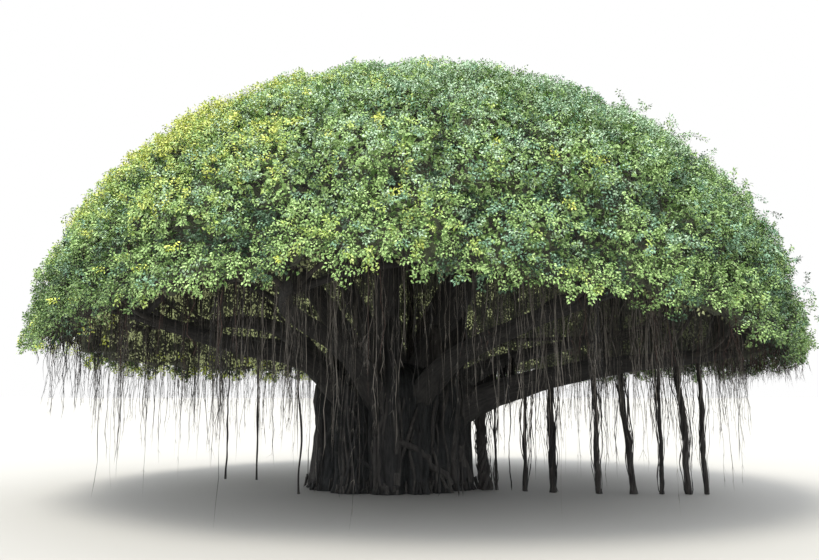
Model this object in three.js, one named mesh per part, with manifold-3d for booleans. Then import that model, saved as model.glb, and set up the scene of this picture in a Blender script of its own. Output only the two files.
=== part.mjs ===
// A large clipped banyan: a fluted trunk of fused roots, boughs that carry a dome of foliage,
// curtains of aerial roots under it and prop roots that have reached the ground.
// Millimetres, +Z up. The origin is the middle of the trunk's flat foot. The front faces -Y.
// Azimuths are degrees round +Z from +X, so the front of the crown is at 270.
import * as THREE from "three";
import { mergeVertices } from "three/addons/utils/BufferGeometryUtils.js";
import Module from "manifold-3d";

const wasm = await Module();
wasm.setup();

// The dome's outline: an ellipsoid above its widest level and a shallower one below it.
const CROWN = {
  centreX: 340, // the crown stands a little to the right of the trunk
  radius: 6470,
  sideways: 0.012, // share by which the right side reaches further than the left
  widestZ: 2400,
  rise: 4830, // from the widest level to the top
  under: 1500, // how far the lower ellipsoid would reach down if it were whole
};

// The height of the clipped rim: low round the back, lifted at the front, with a deeper notch there,
// and lifted a little at the left end.
const RIM = {
  base: 1900,
  lifts: [
    { at: 265, width: 52, lift: 880 },
    { at: 261, width: 8, lift: 150 },
    { at: 186, width: 17, lift: 400 },
  ],
  coreLift: 150, // how far the dense core stays above the lowest leaves
};

// Foliage masses: a ring along the rim, a ring on the shoulder and a cap, each in its own cell.
const RIM_EDGES = [-34, 11, 55, 98, 140, 184, 234, 272, 326];
const RIM_MASSES = [
  "right_front",
  "right_back",
  "back_right",
  "back_left",
  "left_back",
  "left_front",
  "front_left",
  "front_right",
];
const SHOULDER_EDGES = [-65, 7, 79, 151, 223, 295];
const SHOULDER_MASSES = ["upper_right", "upper_back_right", "upper_back_left", "upper_left", "upper_front"];
const SHOULDER_FROM = 28; // degrees up the dome
const CAP_FROM = 60;
const SEAM = { gap: 40, sway: 4 }; // the space between cells, and how far their edges wander, in degrees

const CORE = { depth: 180, thickness: 560, edgeDrop: 110, billow: 22 };
const LEAF = { length: 600, width: 255, thickness: 30, fold: 26, sunk: 5, apart: 215 };
const TWIG = { length: 780, baseRadius: 30, tipRadius: 17, sunk: 40, tipDepth: 50 };
const TWIG_ROWS = [0.47, 0.95]; // how far up its cell each row of twigs starts
const TWIG_SPACING = 1470;
// where each leaf leaves its twig, as a share of its length, and the degrees it turns from it
const LEAVES = [
  [0.45, 66],
  [0.6, -66],
  [0.78, 64],
  [0.9, -64],
  [0.99, 0],
];

const TRUNK = {
  halfWidth: 1400,
  halfDepth: 1150,
  lean: 60, // how far the head stands to the right of the foot
  ribs: 13,
  sidesPerRib: 5,
  ribDepth: 0.13,
  // heights and the share of the half width there, from the flat foot to the head
  profile: [
    [0, 1.04],
    [110, 0.985],
    [330, 0.955],
    [1100, 0.945],
    [1500, 0.985],
    [1750, 0.96],
    [1950, 0.83],
    [2080, 0.6],
    [2150, 0.36],
  ],
};
const TOP_OF_TRUNK = 2150;

const BOUGH_TIP_DEPTH = 1200; // from the crown's outline to a bough's flat tip
const SEAT_GAP = 0.3; // between faces that meet
const ROOT = { radius: 21, spacing: 260, bearerRadius: 50 };

const radians = THREE.MathUtils.degToRad;
const degrees = THREE.MathUtils.radToDeg;
const lerp = THREE.MathUtils.lerp;
const bump = (azimuth, { at, width, lift }) => {
  const off = (((azimuth - at + 900) % 360) - 180) / width;
  return lift * Math.exp(-off * off);
};

// Numbers from 0 to 1 that are the same on every run.
function seeded(seed) {
  let state = seed >>> 0;
  return () => {
    state = (Math.imul(state, 1664525) + 1013904223) >>> 0;
    return state / 4294967296;
  };
}

// Moves every vertex of a closed geometry by a function.
function warp(geometry, place) {
  const position = geometry.getAttribute("position");
  const v = new THREE.Vector3();
  for (let i = 0; i < position.count; i++) {
    v.fromBufferAttribute(position, i);
    const moved = place(v);
    position.setXYZ(i, moved.x, moved.y, moved.z);
  }
  return geometry;
}

// A closed geometry as a solid for joining and cutting, turned face out where it was inside out.
function solidOf(geometry) {
  const bare = geometry.clone();
  bare.deleteAttribute("normal");
  bare.deleteAttribute("uv");
  const merged = mergeVertices(bare, 1e-3);
  const index = merged.index.array;
  const kept = [];
  for (let i = 0; i < index.length; i += 3) {
    const [a, b, c] = [index[i], index[i + 1], index[i + 2]];
    if (a !== b && b !== c && a !== c) kept.push(a, b, c);
  }
  const build = (triangles) =>
    new wasm.Manifold(
      new wasm.Mesh({
        numProp: 3,
        vertProperties: merged.attributes.position.array,
        triVerts: new Uint32Array(triangles),
      }),
    );
  const made = build(kept);
  if (made.volume() >= 0) return made;
  for (let i = 0; i < kept.length; i += 3) [kept[i + 1], kept[i + 2]] = [kept[i + 2], kept[i + 1]];
  return build(kept);
}

// A solid back as a geometry, keeping only its largest body.
function geometryOf(solid) {
  const bodies = solid.decompose().sort((a, b) => b.volume() - a.volume());
  const mesh = bodies[0].getMesh();
  const geometry = new THREE.BufferGeometry();
  geometry.setAttribute("position", new THREE.BufferAttribute(new Float32Array(mesh.vertProperties), 3));
  geometry.setIndex(new THREE.BufferAttribute(new Uint32Array(mesh.triVerts), 1));
  geometry.computeVertexNormals();
  return geometry;
}

// A tapering limb along a curve, made from a cylinder whose rings are carried along it. It can be
// grown all round and at both ends, for cutting another limb clear of it.
function limb({ curve, startRadius, endRadius }, sides, steps, grow = 0) {
  return solidOf(
    warp(new THREE.CylinderGeometry(1, 1, 1, sides, steps), (v) => {
      const t = v.y + 0.5;
      const along = curve.getTangentAt(t);
      const side = new THREE.Vector3(0, 0, 1).cross(along);
      if (side.length() < 0.2) side.set(0, 1, 0).cross(along);
      side.normalize();
      const radius = lerp(startRadius, endRadius, t) + grow;
      return curve
        .getPointAt(t)
        .addScaledVector(along, t === 0 ? -grow : t === 1 ? grow : 0)
        .addScaledVector(side, v.x * radius)
        .addScaledVector(along.clone().cross(side), v.z * radius);
    }),
  );
}

const rod = (from, to, startRadius, endRadius) => ({
  curve: new THREE.LineCurve3(from, to),
  startRadius,
  endRadius,
});

// The dome's coordinates: azimuth round it, angle up it from the widest level, depth in from the outline.
const crownRadius = (azimuth) => CROWN.radius * (1 + CROWN.sideways * Math.cos(radians(azimuth)));
const crownHeight = (angle) => (angle >= 0 ? CROWN.rise : CROWN.under);

function domePoint(azimuth, angle, depth) {
  const out = (crownRadius(azimuth) - depth) * Math.cos(radians(angle));
  const up = (crownHeight(angle) - depth) * Math.sin(radians(angle));
  return new THREE.Vector3(
    CROWN.centreX + out * Math.cos(radians(azimuth)),
    out * Math.sin(radians(azimuth)),
    CROWN.widestZ + up,
  );
}

function domeAddress(p) {
  const azimuth = degrees(Math.atan2(p.y, p.x - CROWN.centreX));
  const out = Math.hypot(p.x - CROWN.centreX, p.y) / crownRadius(azimuth);
  const height = crownHeight(p.z - CROWN.widestZ);
  const up = (p.z - CROWN.widestZ) / height;
  const size = Math.hypot(out, up);
  const reach = lerp(CROWN.radius, height, (up / size) ** 2);
  return { azimuth, angle: degrees(Math.atan2(up, out)), depth: (1 - size) * reach };
}

function rimAngle(azimuth, lift) {
  const rim = RIM.lifts.reduce((sum, part) => sum + bump(azimuth, part), RIM.base);
  const height = rim + lift - CROWN.widestZ;
  return degrees(Math.asin(height / crownHeight(height)));
}

// The seams between cells wander, so that no seam reads as a ruled line.
const shoulderSeam = (azimuth) => SHOULDER_FROM + SEAM.sway * Math.sin(radians(3 * azimuth + 40));
const capSeam = (azimuth) => CAP_FROM + 0.4 * SEAM.sway * Math.sin(radians(3 * azimuth));
const sideSeam = (edge) => (angle) => {
  return edge + SEAM.sway * Math.sin(radians(7 * Math.max(angle, 0) + 100 * edge));
};
const seamHalf = degrees(SEAM.gap / 2 / CROWN.rise);

function ring(names, edges, low, coreLow, high) {
  return names.map((name, i) => ({
    name,
    middle: (edges[i] + edges[i + 1]) / 2,
    from: sideSeam(edges[i]),
    to: sideSeam(edges[(i + 1) % names.length] + (i + 1 === names.length ? 360 : 0)),
    low,
    coreLow,
    high,
  }));
}

const onShoulder = (azimuth) => shoulderSeam(azimuth) + seamHalf;
const underCap = (azimuth) => capSeam(azimuth) - seamHalf;
const onCap = (azimuth) => capSeam(azimuth) + seamHalf;
const cells = [
  ...ring(
    RIM_MASSES,
    RIM_EDGES,
    (azimuth) => rimAngle(azimuth, 0),
    (azimuth) => rimAngle(azimuth, RIM.coreLift),
    (azimuth) => shoulderSeam(azimuth) - seamHalf,
  ),
  ...ring(SHOULDER_MASSES, SHOULDER_EDGES, onShoulder, onShoulder, underCap),
  { name: "top", whole: true, low: onCap, coreLow: onCap, high: () => 90 },
];

// The azimuth and angle at shares u across and v up a cell, found in a few passes as its edges wander.
function cellPlace(cell, u, v) {
  if (cell.whole) return { azimuth: 360 * u, angle: lerp(90, cell.coreLow(360 * u), v) };
  let azimuth = cell.middle;
  let angle = cell.coreLow(azimuth);
  for (let pass = 0; pass < 6; pass++) {
    const inset = degrees(SEAM.gap / 2 / (CROWN.radius * Math.cos(radians(angle))));
    azimuth = lerp(cell.from(angle) + inset, cell.to(angle) - inset, u);
    angle = lerp(cell.coreLow(azimuth), cell.high(azimuth), v);
  }
  return { azimuth, angle };
}

// The outside of a dense core: rounded off toward its edges, with soft billows all over.
function coreDepth(cell, u, v, azimuth, angle) {
  const edge = cell.whole ? v : Math.max(Math.abs(2 * u - 1), Math.abs(2 * v - 1));
  const billow = Math.sin(radians(13 * azimuth + 50)) * Math.sin(radians(15 * angle + 20));
  return CORE.depth + CORE.edgeDrop * edge ** 5 + CORE.billow * billow * Math.cos(radians(angle));
}

function cellCore(cell) {
  const [across, up] = RIM_MASSES.includes(cell.name) ? [5, 3] : [7, 3];
  return solidOf(
    warp(new THREE.BoxGeometry(1, 1, 1, across, up, 1), (p) => {
      const [u, v] = [p.x + 0.5, p.y + 0.5];
      const { azimuth, angle } = cellPlace(cell, u, v);
      const thickness = CORE.thickness * (angle < 12 ? 0.8 : 1);
      const inner = CORE.depth + thickness;
      return domePoint(azimuth, angle, p.z > 0 ? coreDepth(cell, u, v, azimuth, angle) : inner);
    }),
  );
}

// The cap's core is a sphere whose upper rings take the outer skin and whose lower rings the inner.
function capCore(cell) {
  const rings = 7;
  return solidOf(
    warp(new THREE.SphereGeometry(1, 18, rings), (p) => {
      const row = Math.round((Math.acos(THREE.MathUtils.clamp(p.y, -1, 1)) / Math.PI) * rings);
      const outer = row <= 3;
      const v = outer ? row / 3 : (rings - row) / 3;
      const { azimuth, angle } = cellPlace(cell, Math.atan2(p.z, p.x) / (2 * Math.PI), v);
      const depth = outer ? coreDepth(cell, 0, v, azimuth, angle) : CORE.depth + CORE.thickness;
      return domePoint(azimuth, angle, depth);
    }),
  );
}

function inCell(p, cell) {
  const { azimuth, angle, depth } = domeAddress(p);
  if (depth < -6 || angle < cell.low(azimuth) || angle > cell.high(azimuth)) return false;
  if (cell.whole) return true;
  const turn = 360 * Math.round((cell.middle - azimuth) / 360);
  const inset = degrees(SEAM.gap / 2 / Math.hypot(p.x - CROWN.centreX, p.y));
  return azimuth + turn > cell.from(angle) + inset && azimuth + turn < cell.to(angle) - inset;
}

// A pointed leaf of eight faces that stands for a spray, folded along its rib, tip drooping.
function leaf(base, along, out) {
  const side = out.clone().cross(along).normalize();
  const back = out.clone().addScaledVector(along, -out.dot(along)).normalize();
  return warp(new THREE.OctahedronGeometry(1, 0), (v) => {
    const reach = v.x < -0.5 ? -LEAF.sunk : v.x > 0.5 ? LEAF.length : 0.42 * LEAF.length;
    const height = (v.z * LEAF.thickness) / 2 + (Math.abs(v.y) - Math.max(0, v.x)) * LEAF.fold;
    return base
      .clone()
      .addScaledVector(along, reach)
      .addScaledVector(side, (v.y * LEAF.width) / 2)
      .addScaledVector(back, height);
  });
}

// The direction straight out of the dome at a point.
function outward(p) {
  const height = crownHeight(p.z - CROWN.widestZ);
  return new THREE.Vector3(
    (p.x - CROWN.centreX) / CROWN.radius ** 2,
    p.y / CROWN.radius ** 2,
    (p.z - CROWN.widestZ) / height ** 2,
  ).normalize();
}

// A direction over the dome's surface: turned from level by some degrees, with a little lift.
function heading(p, turn, lift) {
  const out = outward(p);
  const level = new THREE.Vector3(0, 0, 1).cross(out).normalize();
  const upward = out.clone().cross(level);
  return level
    .multiplyScalar(Math.cos(radians(turn)))
    .addScaledVector(upward, Math.sin(radians(turn)))
    .addScaledVector(out, lift)
    .normalize();
}

function fitsCell(geometry, cell) {
  const corners = geometry.getAttribute("position");
  const corner = new THREE.Vector3();
  const next = new THREE.Vector3();
  for (let i = 0; i < corners.count; i++) {
    corner.fromBufferAttribute(corners, i);
    next.fromBufferAttribute(corners, (i + 1) % corners.count);
    if (!inCell(corner, cell) || !inCell(corner.lerp(next, 0.5), cell)) return false;
  }
  return true;
}

// Where the twigs of a cell stand: rows across it, each staggered against the one below.
function twigSites(cell) {
  const sites = [];
  TWIG_ROWS.forEach((share, row) => {
    const v = cell.whole ? 1 - share : share;
    const { angle } = cellPlace(cell, 0.5, v);
    const span = cell.whole ? 360 : cell.to(angle) - cell.from(angle);
    const width = radians(span) * CROWN.radius * Math.cos(radians(angle));
    const count = Math.max(2, Math.round(width / TWIG_SPACING));
    for (let k = 0; k < count; k++) sites.push([(k + 0.5 + 0.13 * (row ? 1 : -1)) / count, v]);
  });
  return sites;
}

// The leafy twigs of a mass, all heading down the dome, a little to either side. Each is turned until
// it fits its cell, and so is each leaf, which also keeps its middle apart from the leaves before it.
function twigs(cell, random) {
  const parts = [];
  const middles = [];
  for (const [u, v] of twigSites(cell)) {
    const { azimuth, angle } = cellPlace(cell, u, v);
    const root = domePoint(azimuth, angle, coreDepth(cell, u, v, azimuth, angle) + TWIG.sunk);
    const first = -90 + 50 * (random() - 0.5);
    for (let turn = 0; turn < 7; turn++) {
      const way = first + 18 * turn * (turn % 2 ? 1 : -1);
      const over = domeAddress(root.clone().addScaledVector(heading(root, way, 0), TWIG.length));
      const tip = domePoint(over.azimuth, over.angle, TWIG.tipDepth);
      if (!inCell(tip, cell)) continue;
      parts.push(limb(rod(root, tip, TWIG.baseRadius, TWIG.tipRadius), 3, 1));
      for (const [at, side] of LEAVES) {
        const base = root.clone().lerp(tip, at);
        for (let wider = 0; wider < 3; wider++) {
          const along = heading(base, way + side + 20 * wider * Math.sign(side), 0.01 + 0.09 * (1 - at));
          const blade = leaf(base, along, outward(base));
          const middle = base.clone().addScaledVector(along, 0.5 * LEAF.length);
          const crowded = middles.some((other) => other.distanceTo(middle) < LEAF.apart);
          if (crowded || !fitsCell(blade, cell)) continue;
          middles.push(middle);
          parts.push(solidOf(blade));
          break;
        }
      }
      break;
    }
  }
  return parts;
}

// Boughs. Each runs from inside the trunk's head, through two points on its way, to its flat tip.
// A point is given by how far out it is and how high; sway is degrees that it wanders sideways.
const LOW_START = [650, 1330];
const LOW_BOUGHS = {
  right_front: {
    start: [650, 1100],
    near: [1900, 1640],
    far: [3400, 2010],
    startRadius: 250,
    endRadius: 92,
    sway: -5,
  },
  right_back: { near: [1750, 1900], far: [3300, 2350], startRadius: 200, endRadius: 75, sway: 10 },
  back_right: { near: [1700, 2150], far: [3200, 2500], startRadius: 190, endRadius: 72, sway: -8 },
  back_left: { near: [1700, 1950], far: [3300, 2300], startRadius: 195, endRadius: 72, sway: 9 },
  left_back: {
    start: [800, 1150],
    near: [1880, 2560],
    far: [3000, 3000],
    startRadius: 215,
    endRadius: 76,
    sway: -7,
  },
  left_front: { near: [1700, 2150], far: [3150, 2400], startRadius: 205, endRadius: 74, sway: 8 },
  front_left: { near: [1650, 2200], far: [3200, 2760], startRadius: 190, endRadius: 72, sway: -9 },
  front_right: { near: [1650, 2100], far: [3300, 2640], startRadius: 200, endRadius: 74, sway: 8 },
};
const HIGH_BOUGH = { near: [950, 2750], far: [1850, 3850], startRadius: 225, endRadius: 80, sway: 7 };

function polar(azimuth, out, z) {
  return new THREE.Vector3(out * Math.cos(radians(azimuth)), out * Math.sin(radians(azimuth)), z);
}

function boughFrom(cell, shape, start, tip) {
  return {
    name: cell.name,
    startRadius: shape.startRadius,
    endRadius: shape.endRadius,
    curve: new THREE.CatmullRomCurve3([
      polar(cell.middle, start[0], start[1]),
      polar(cell.middle + 0.6 * shape.sway, shape.near[0], shape.near[1]),
      polar(cell.middle + shape.sway, shape.far[0], shape.far[1]),
      tip,
    ]),
  };
}

const boughs = cells.map((cell) => {
  if (cell.whole) {
    const curve = new THREE.CatmullRomCurve3([
      new THREE.Vector3(40, 0, 1750),
      new THREE.Vector3(-60, 60, 3300),
      new THREE.Vector3(200, -40, 4700),
      domePoint(0, 90, BOUGH_TIP_DEPTH),
    ]);
    return { name: cell.name, startRadius: 200, endRadius: 85, curve };
  }
  const low = LOW_BOUGHS[cell.name];
  if (!low) return boughFrom(cell, HIGH_BOUGH, [430, 1700], domePoint(cell.middle, 45, BOUGH_TIP_DEPTH));
  const carrier = cell.name === "right_front"; // the long low bough that the prop roots hold up
  const tip = carrier ? domePoint(cell.middle, -12, 1000) : domePoint(cell.middle, 8, BOUGH_TIP_DEPTH);
  return boughFrom(cell, low, low.start ?? LOW_START, tip);
});
const boughNamed = (name) => boughs.find((b) => b.name === name);
const boughSolid = (b, grow = 0) => limb(b, 6, 5, grow);

// One mass: a core, a stem that carries on from its bough's tip, and leafy twigs standing out of the core.
function mass(cell, number) {
  const bough = boughNamed(cell.name);
  const place = cellPlace(cell, 0.5, cell.whole ? 0 : 0.42);
  const inward = domePoint(place.azimuth, place.angle, CORE.depth + 0.6 * CORE.thickness);
  const onward = bough.curve.getTangentAt(1);
  const tip = bough.curve.getPointAt(1).addScaledVector(onward, SEAT_GAP);
  const bend = tip.clone().addScaledVector(onward, 0.4 * tip.distanceTo(inward));
  const curve = new THREE.QuadraticBezierCurve3(tip, bend, inward);
  const stem = limb({ curve, startRadius: bough.endRadius, endRadius: 0.6 * bough.endRadius }, 6, 2);
  const core = cell.whole ? capCore(cell) : cellCore(cell);
  return wasm.Manifold.union([core, stem, ...twigs(cell, seeded(90 + 31 * number))]);
}

// The trunk: one column of fused roots. Its ribs are round-backed with sharp valleys between.
function ribEdge(rib) {
  return ((rib + 0.3 * Math.sin((6 * Math.PI * rib) / TRUNK.ribs)) / TRUNK.ribs) * 2 * Math.PI;
}

function trunk(grow = 0) {
  const sides = TRUNK.ribs * TRUNK.sidesPerRib;
  const steps = TRUNK.profile.length - 1;
  return solidOf(
    warp(new THREE.CylinderGeometry(1, 1, 1, sides, steps), (v) => {
      const [z, share] = TRUNK.profile[Math.round((v.y + 0.5) * steps)];
      const turn = Math.atan2(v.x, v.z) / (2 * Math.PI);
      const side = (Math.round(turn * sides) + sides) % sides;
      const rib = Math.floor(side / TRUNK.sidesPerRib);
      const across = (side % TRUNK.sidesPerRib) / TRUNK.sidesPerRib;
      const size = TRUNK.ribDepth * (1 + 0.45 * Math.sin(2.4 * rib + z / 900)) * (z < 120 ? 1.25 : 1);
      const rounded = share * (1 - size + size * Math.sin(Math.PI * across) ** 0.6 * 1.1);
      const a = lerp(ribEdge(rib), ribEdge(rib + 1), across) + 0.06 * Math.sin(z / 500 + rib);
      const onAxis = Math.hypot(v.x, v.z) < 0.5 ? 0 : 1;
      return new THREE.Vector3(
        TRUNK.lean * (z / TOP_OF_TRUNK) + onAxis * (rounded * TRUNK.halfWidth + grow) * Math.cos(a),
        onAxis * (rounded * TRUNK.halfDepth + grow) * Math.sin(a),
        z + (z === TOP_OF_TRUNK ? grow : 0) - (z === 0 ? grow : 0),
      );
    }),
  );
}

// Prop roots: columns from the ground up to the underside of a bough, at a share of its length.
// The foot stands off to the side by the lean, and is thicker than the top.
const PROPS = [
  { bough: "right_front", at: 0.19, radius: 88, lean: 70 },
  { bough: "right_front", at: 0.24, radius: 26, lean: 20 },
  { bough: "right_front", at: 0.345, radius: 32, lean: -20 },
  { bough: "right_front", at: 0.43, radius: 54, lean: 15 },
  { bough: "right_front", at: 0.57, radius: 38, lean: 20 },
  { bough: "right_front", at: 0.65, radius: 50, lean: 160 },
  { bough: "right_front", at: 0.77, radius: 30, lean: -20 },
  { bough: "right_front", at: 0.83, radius: 48, lean: 110 },
  { bough: "right_front", at: 0.895, radius: 36, lean: 40 },
  { bough: "left_back", at: 0.6, radius: 24, lean: 30 },
  { bough: "left_back", at: 0.72, radius: 20, lean: -40 },
  { bough: "left_front", at: 0.32, radius: 22, lean: 20 },
];
const PROP_SPREAD = 1.2; // how much thicker a prop root is at its foot

function propRoot({ bough, at, radius, lean }) {
  const top = boughNamed(bough).curve.getPointAt(at);
  const curve = new THREE.CatmullRomCurve3([
    new THREE.Vector3(top.x + lean, top.y, -40),
    new THREE.Vector3(top.x + 0.7 * lean, top.y + 20, 0.3 * top.z),
    new THREE.Vector3(top.x + 0.2 * lean, top.y - 15, 0.7 * top.z),
    top,
  ]);
  return { curve, startRadius: radius * PROP_SPREAD, endRadius: radius };
}
const props = PROPS.map(propRoot);

// Curtains of aerial roots. Each hangs from a side branch that leaves a bough at a share of its length,
// turns by some degrees round the tree and rises, most at the front, where the rim is high.
const CURTAINS = [
  ...RIM_MASSES.map((bough, i) => {
    const front = ["left_front", "front_left", "front_right"].includes(bough);
    return { bough, at: 0.9, turn: i % 2 ? 33 : 31, hang: front ? 1.15 : 1, rise: front ? 480 : 110 };
  }),
  { bough: "left_front", at: 0.6, turn: -34, hang: 0.9, rise: 420 },
  { bough: "front_left", at: 0.62, turn: -30, hang: 1.15, rise: 700 },
  { bough: "front_right", at: 0.6, turn: 30, hang: 1.15, rise: 700 },
  { bough: "front_right", at: 0.93, turn: -18, hang: 1.2, rise: 420 },
];

function bearer({ bough, at, turn, rise }) {
  const start = boughNamed(bough).curve.getPointAt(at);
  const azimuth = degrees(Math.atan2(start.y, start.x));
  const out = Math.hypot(start.x, start.y);
  const step = (k, spread, share) => polar(azimuth + (turn * k) / 3, out * spread, start.z + rise * share);
  const way = [step(1, 1.0, 0.5), step(2, 1.01, 0.75), step(3, 0.98, 1)];
  const curve = new THREE.CatmullRomCurve3([start, ...way]);
  return { curve, startRadius: ROOT.bearerRadius, endRadius: 0.6 * ROOT.bearerRadius };
}

// True where a limb passes within a margin of a point.
function touches(point, margin, { curve, startRadius, endRadius }) {
  const samples = 24;
  for (let k = 0; k <= samples; k++) {
    const t = k / samples;
    if (curve.getPointAt(t).distanceTo(point) < lerp(startRadius, endRadius, t) + margin) return true;
  }
  return false;
}

function hangingRoots(curtain, number) {
  const random = seeded(410 + 7 * number);
  const branch = bearer(curtain);
  const others = [...boughs.filter((b) => b.name !== curtain.bough), ...props];
  const parts = [limb(branch, 4, 4)];
  const count = Math.floor(branch.curve.getLength() / ROOT.spacing);
  for (let k = 0; k < count; k++) {
    const t = Math.min((k + 0.9 + 0.4 * random()) / (count + 0.6), 0.98);
    const head = branch.curve.getPointAt(t);
    const drift = (random() - 0.5) * 70;
    const fall = curtain.hang * (1050 + 950 * random());
    const foot = new THREE.Vector3(head.x + drift, head.y + 0.5 * drift, head.z - fall);
    const clear = [0.15, 0.3, 0.45, 0.6, 0.75, 0.9, 1].every((s) =>
      others.every((other) => !touches(head.clone().lerp(foot, s), 70, other)),
    );
    if (clear) parts.push(limb(rod(head, foot, ROOT.radius, 0), 3, 1));
  }
  return wasm.Manifold.union(parts);
}

const bark = { color: 0x4a3f35, roughness: 0.9, metalness: 0 };
const rootBark = { color: 0x5d5044, roughness: 0.9, metalness: 0 };
const green = { color: 0x4f7a33, roughness: 0.55, metalness: 0 };

const tree = new THREE.Group();
function add(name, solid, look) {
  const mesh = new THREE.Mesh(geometryOf(solid), new THREE.MeshStandardMaterial(look));
  mesh.name = name;
  tree.add(mesh);
}

// Limbs are cut clear of what carries them, so each meets its carrier across the seat gap.
const grownTrunk = trunk(SEAT_GAP);
const aboveGround = solidOf(new THREE.BoxGeometry(20000, 20000, 10000).translate(0, 0, 5000));
const numbered = (name, i) => name + "_" + String(i + 1).padStart(2, "0");

add("trunk", trunk(), bark);
for (const b of boughs) add("bough_" + b.name, boughSolid(b).subtract(grownTrunk), bark);
props.forEach((prop, i) => {
  const grownBough = boughSolid(boughNamed(PROPS[i].bough), SEAT_GAP);
  const column = limb(prop, 5, 3).intersect(aboveGround).subtract(grownBough).subtract(grownTrunk);
  add(numbered("prop_root", i), column, rootBark);
});
CURTAINS.forEach((curtain, i) => {
  const grownBough = boughSolid(boughNamed(curtain.bough), SEAT_GAP);
  add(numbered("aerial_roots", i), hangingRoots(curtain, i).subtract(grownBough), rootBark);
});
cells.forEach((cell, i) => add("foliage_" + cell.name, mass(cell, i), green));

export default tree;
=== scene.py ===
# %% [markdown]
# # A clipped banyan
# The tree is a wide dome of small glossy leaves on a trunk of fused roots, with aerial roots hanging
# under it like curtains and a few that have reached the ground and thickened into props. The solids of
# the tree are loaded first as a frame, and every piece here grows over them in the same place, in metres.

# %% Load the frame
import math

import bpy
import numpy as np
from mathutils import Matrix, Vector


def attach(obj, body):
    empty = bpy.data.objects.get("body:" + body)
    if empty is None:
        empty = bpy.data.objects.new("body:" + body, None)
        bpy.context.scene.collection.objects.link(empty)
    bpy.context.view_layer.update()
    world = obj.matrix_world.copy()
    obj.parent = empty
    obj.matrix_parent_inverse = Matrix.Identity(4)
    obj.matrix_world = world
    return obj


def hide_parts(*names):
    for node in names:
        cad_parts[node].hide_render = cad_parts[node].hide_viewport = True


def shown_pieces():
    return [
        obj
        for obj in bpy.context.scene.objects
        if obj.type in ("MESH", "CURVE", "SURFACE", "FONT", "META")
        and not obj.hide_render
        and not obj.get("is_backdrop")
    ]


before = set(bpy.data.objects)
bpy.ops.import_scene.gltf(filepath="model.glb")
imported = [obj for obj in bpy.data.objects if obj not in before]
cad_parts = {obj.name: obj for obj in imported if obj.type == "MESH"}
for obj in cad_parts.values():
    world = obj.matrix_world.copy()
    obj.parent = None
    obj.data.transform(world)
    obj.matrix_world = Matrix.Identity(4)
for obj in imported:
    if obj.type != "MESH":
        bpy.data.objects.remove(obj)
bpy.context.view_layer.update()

bpy.ops.object.select_all(action="DESELECT")
print("nodes in the frame:", len(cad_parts))

# %% [markdown]
# ## The dome as a coordinate system
# A clipped crown is easiest to think of as an onion. Each place in it has an azimuth round the trunk, an
# angle up the dome and a depth in from the outline. The frame was shaped with the same rule, so a leaf
# placed this way lands on its mass. Everything is done on whole arrays at once, as there are many leaves.

# %% Dome coordinates
CENTRE_X = 0.34
RADIUS = 6.47
SIDEWAYS = 0.012  # the right side reaches a little further
WIDEST_Z = 2.4
RISE = 4.83
UNDER = 1.5
UNDER_FACING = 2.7  # longer than UNDER, so that leaves below the widest part still look outward


def dome_point(azimuth, angle, depth):
    """Points at azimuths and angles in degrees, and depths in metres."""
    a, e = np.radians(azimuth), np.radians(angle)
    out = (RADIUS * (1 + SIDEWAYS * np.cos(a)) - depth) * np.cos(e)
    up = (np.where(e >= 0, RISE, UNDER) - depth) * np.sin(e)
    return np.stack([CENTRE_X + out * np.cos(a), out * np.sin(a), WIDEST_Z + up], -1)


def outward(points):
    """The direction straight out of the dome at each point."""
    tall = np.where(points[..., 2] > WIDEST_Z, RISE, UNDER_FACING)
    wide = np.full(tall.shape, RADIUS)
    return unit((points - (CENTRE_X, 0, WIDEST_Z)) / np.stack([wide, wide, tall], -1) ** 2)


def unit(vectors):
    return vectors / np.maximum(np.linalg.norm(vectors, axis=-1, keepdims=True), 1e-9)


print("dome: top at", dome_point(0, 90, 0).round(2), "left edge at", dome_point(180, 0, 0).round(2))

# %% [markdown]
# ## The clipped rim and the masses
# The lower edge of the crown is clipped low round the back and high at the front, so that one looks in
# under it. The crown is made of fourteen masses, each grown from one bough. A place in the dome belongs
# to the mass whose cell it falls in, and the cells' seams wander so that none can be seen. The shoulder's
# edges end where they began. Rounding decides on which side of that closing seam a place lies, and about
# two in three are counted on to the next mass, so the masses up there grow through each other.

# %% Rim and masses
RIM_BASE = 1.9
RIM_BUMPS = [(265, 52, 0.88), (261, 8, 0.15), (186, 17, 0.4)]  # azimuth, width in degrees, lift
RIM_EDGES = [-34, 11, 55, 98, 140, 184, 234, 272, 326]
RIM_MASSES = ["right_front", "right_back", "back_right", "back_left",
              "left_back", "left_front", "front_left", "front_right"]
SHOULDER_EDGES = [-65, 7, 79, 151, 223, 295]
SHOULDER_MASSES = ["upper_right", "upper_back_right", "upper_back_left", "upper_left", "upper_front"]
MASSES = RIM_MASSES + SHOULDER_MASSES + ["top"]
SHOULDER_FROM, CAP_FROM = 28, 60  # degrees up the dome
SEAM_SWAY = 4  # degrees
SCALLOPS = [(31, 0.05, 20), (47, 0.06, 140)]  # waves round the rim, their height, their start


def round_from(azimuth, at):
    """How far round from one azimuth each of the others is, from -180 to 180 degrees."""
    return (azimuth - at + 900) % 360 - 180


def rim_angle(azimuth, lift=0.0):
    """The angle of the clipped edge at each azimuth."""
    height = RIM_BASE + lift - WIDEST_Z
    for waves, swing, start in SCALLOPS:
        height = height + swing * np.sin(np.radians(waves * azimuth + start))
    for at, width, rise in RIM_BUMPS:
        height = height + rise * np.exp(-((round_from(azimuth, at) / width) ** 2))
    return np.degrees(np.arcsin(height / np.where(height > 0, RISE, UNDER)))


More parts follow.
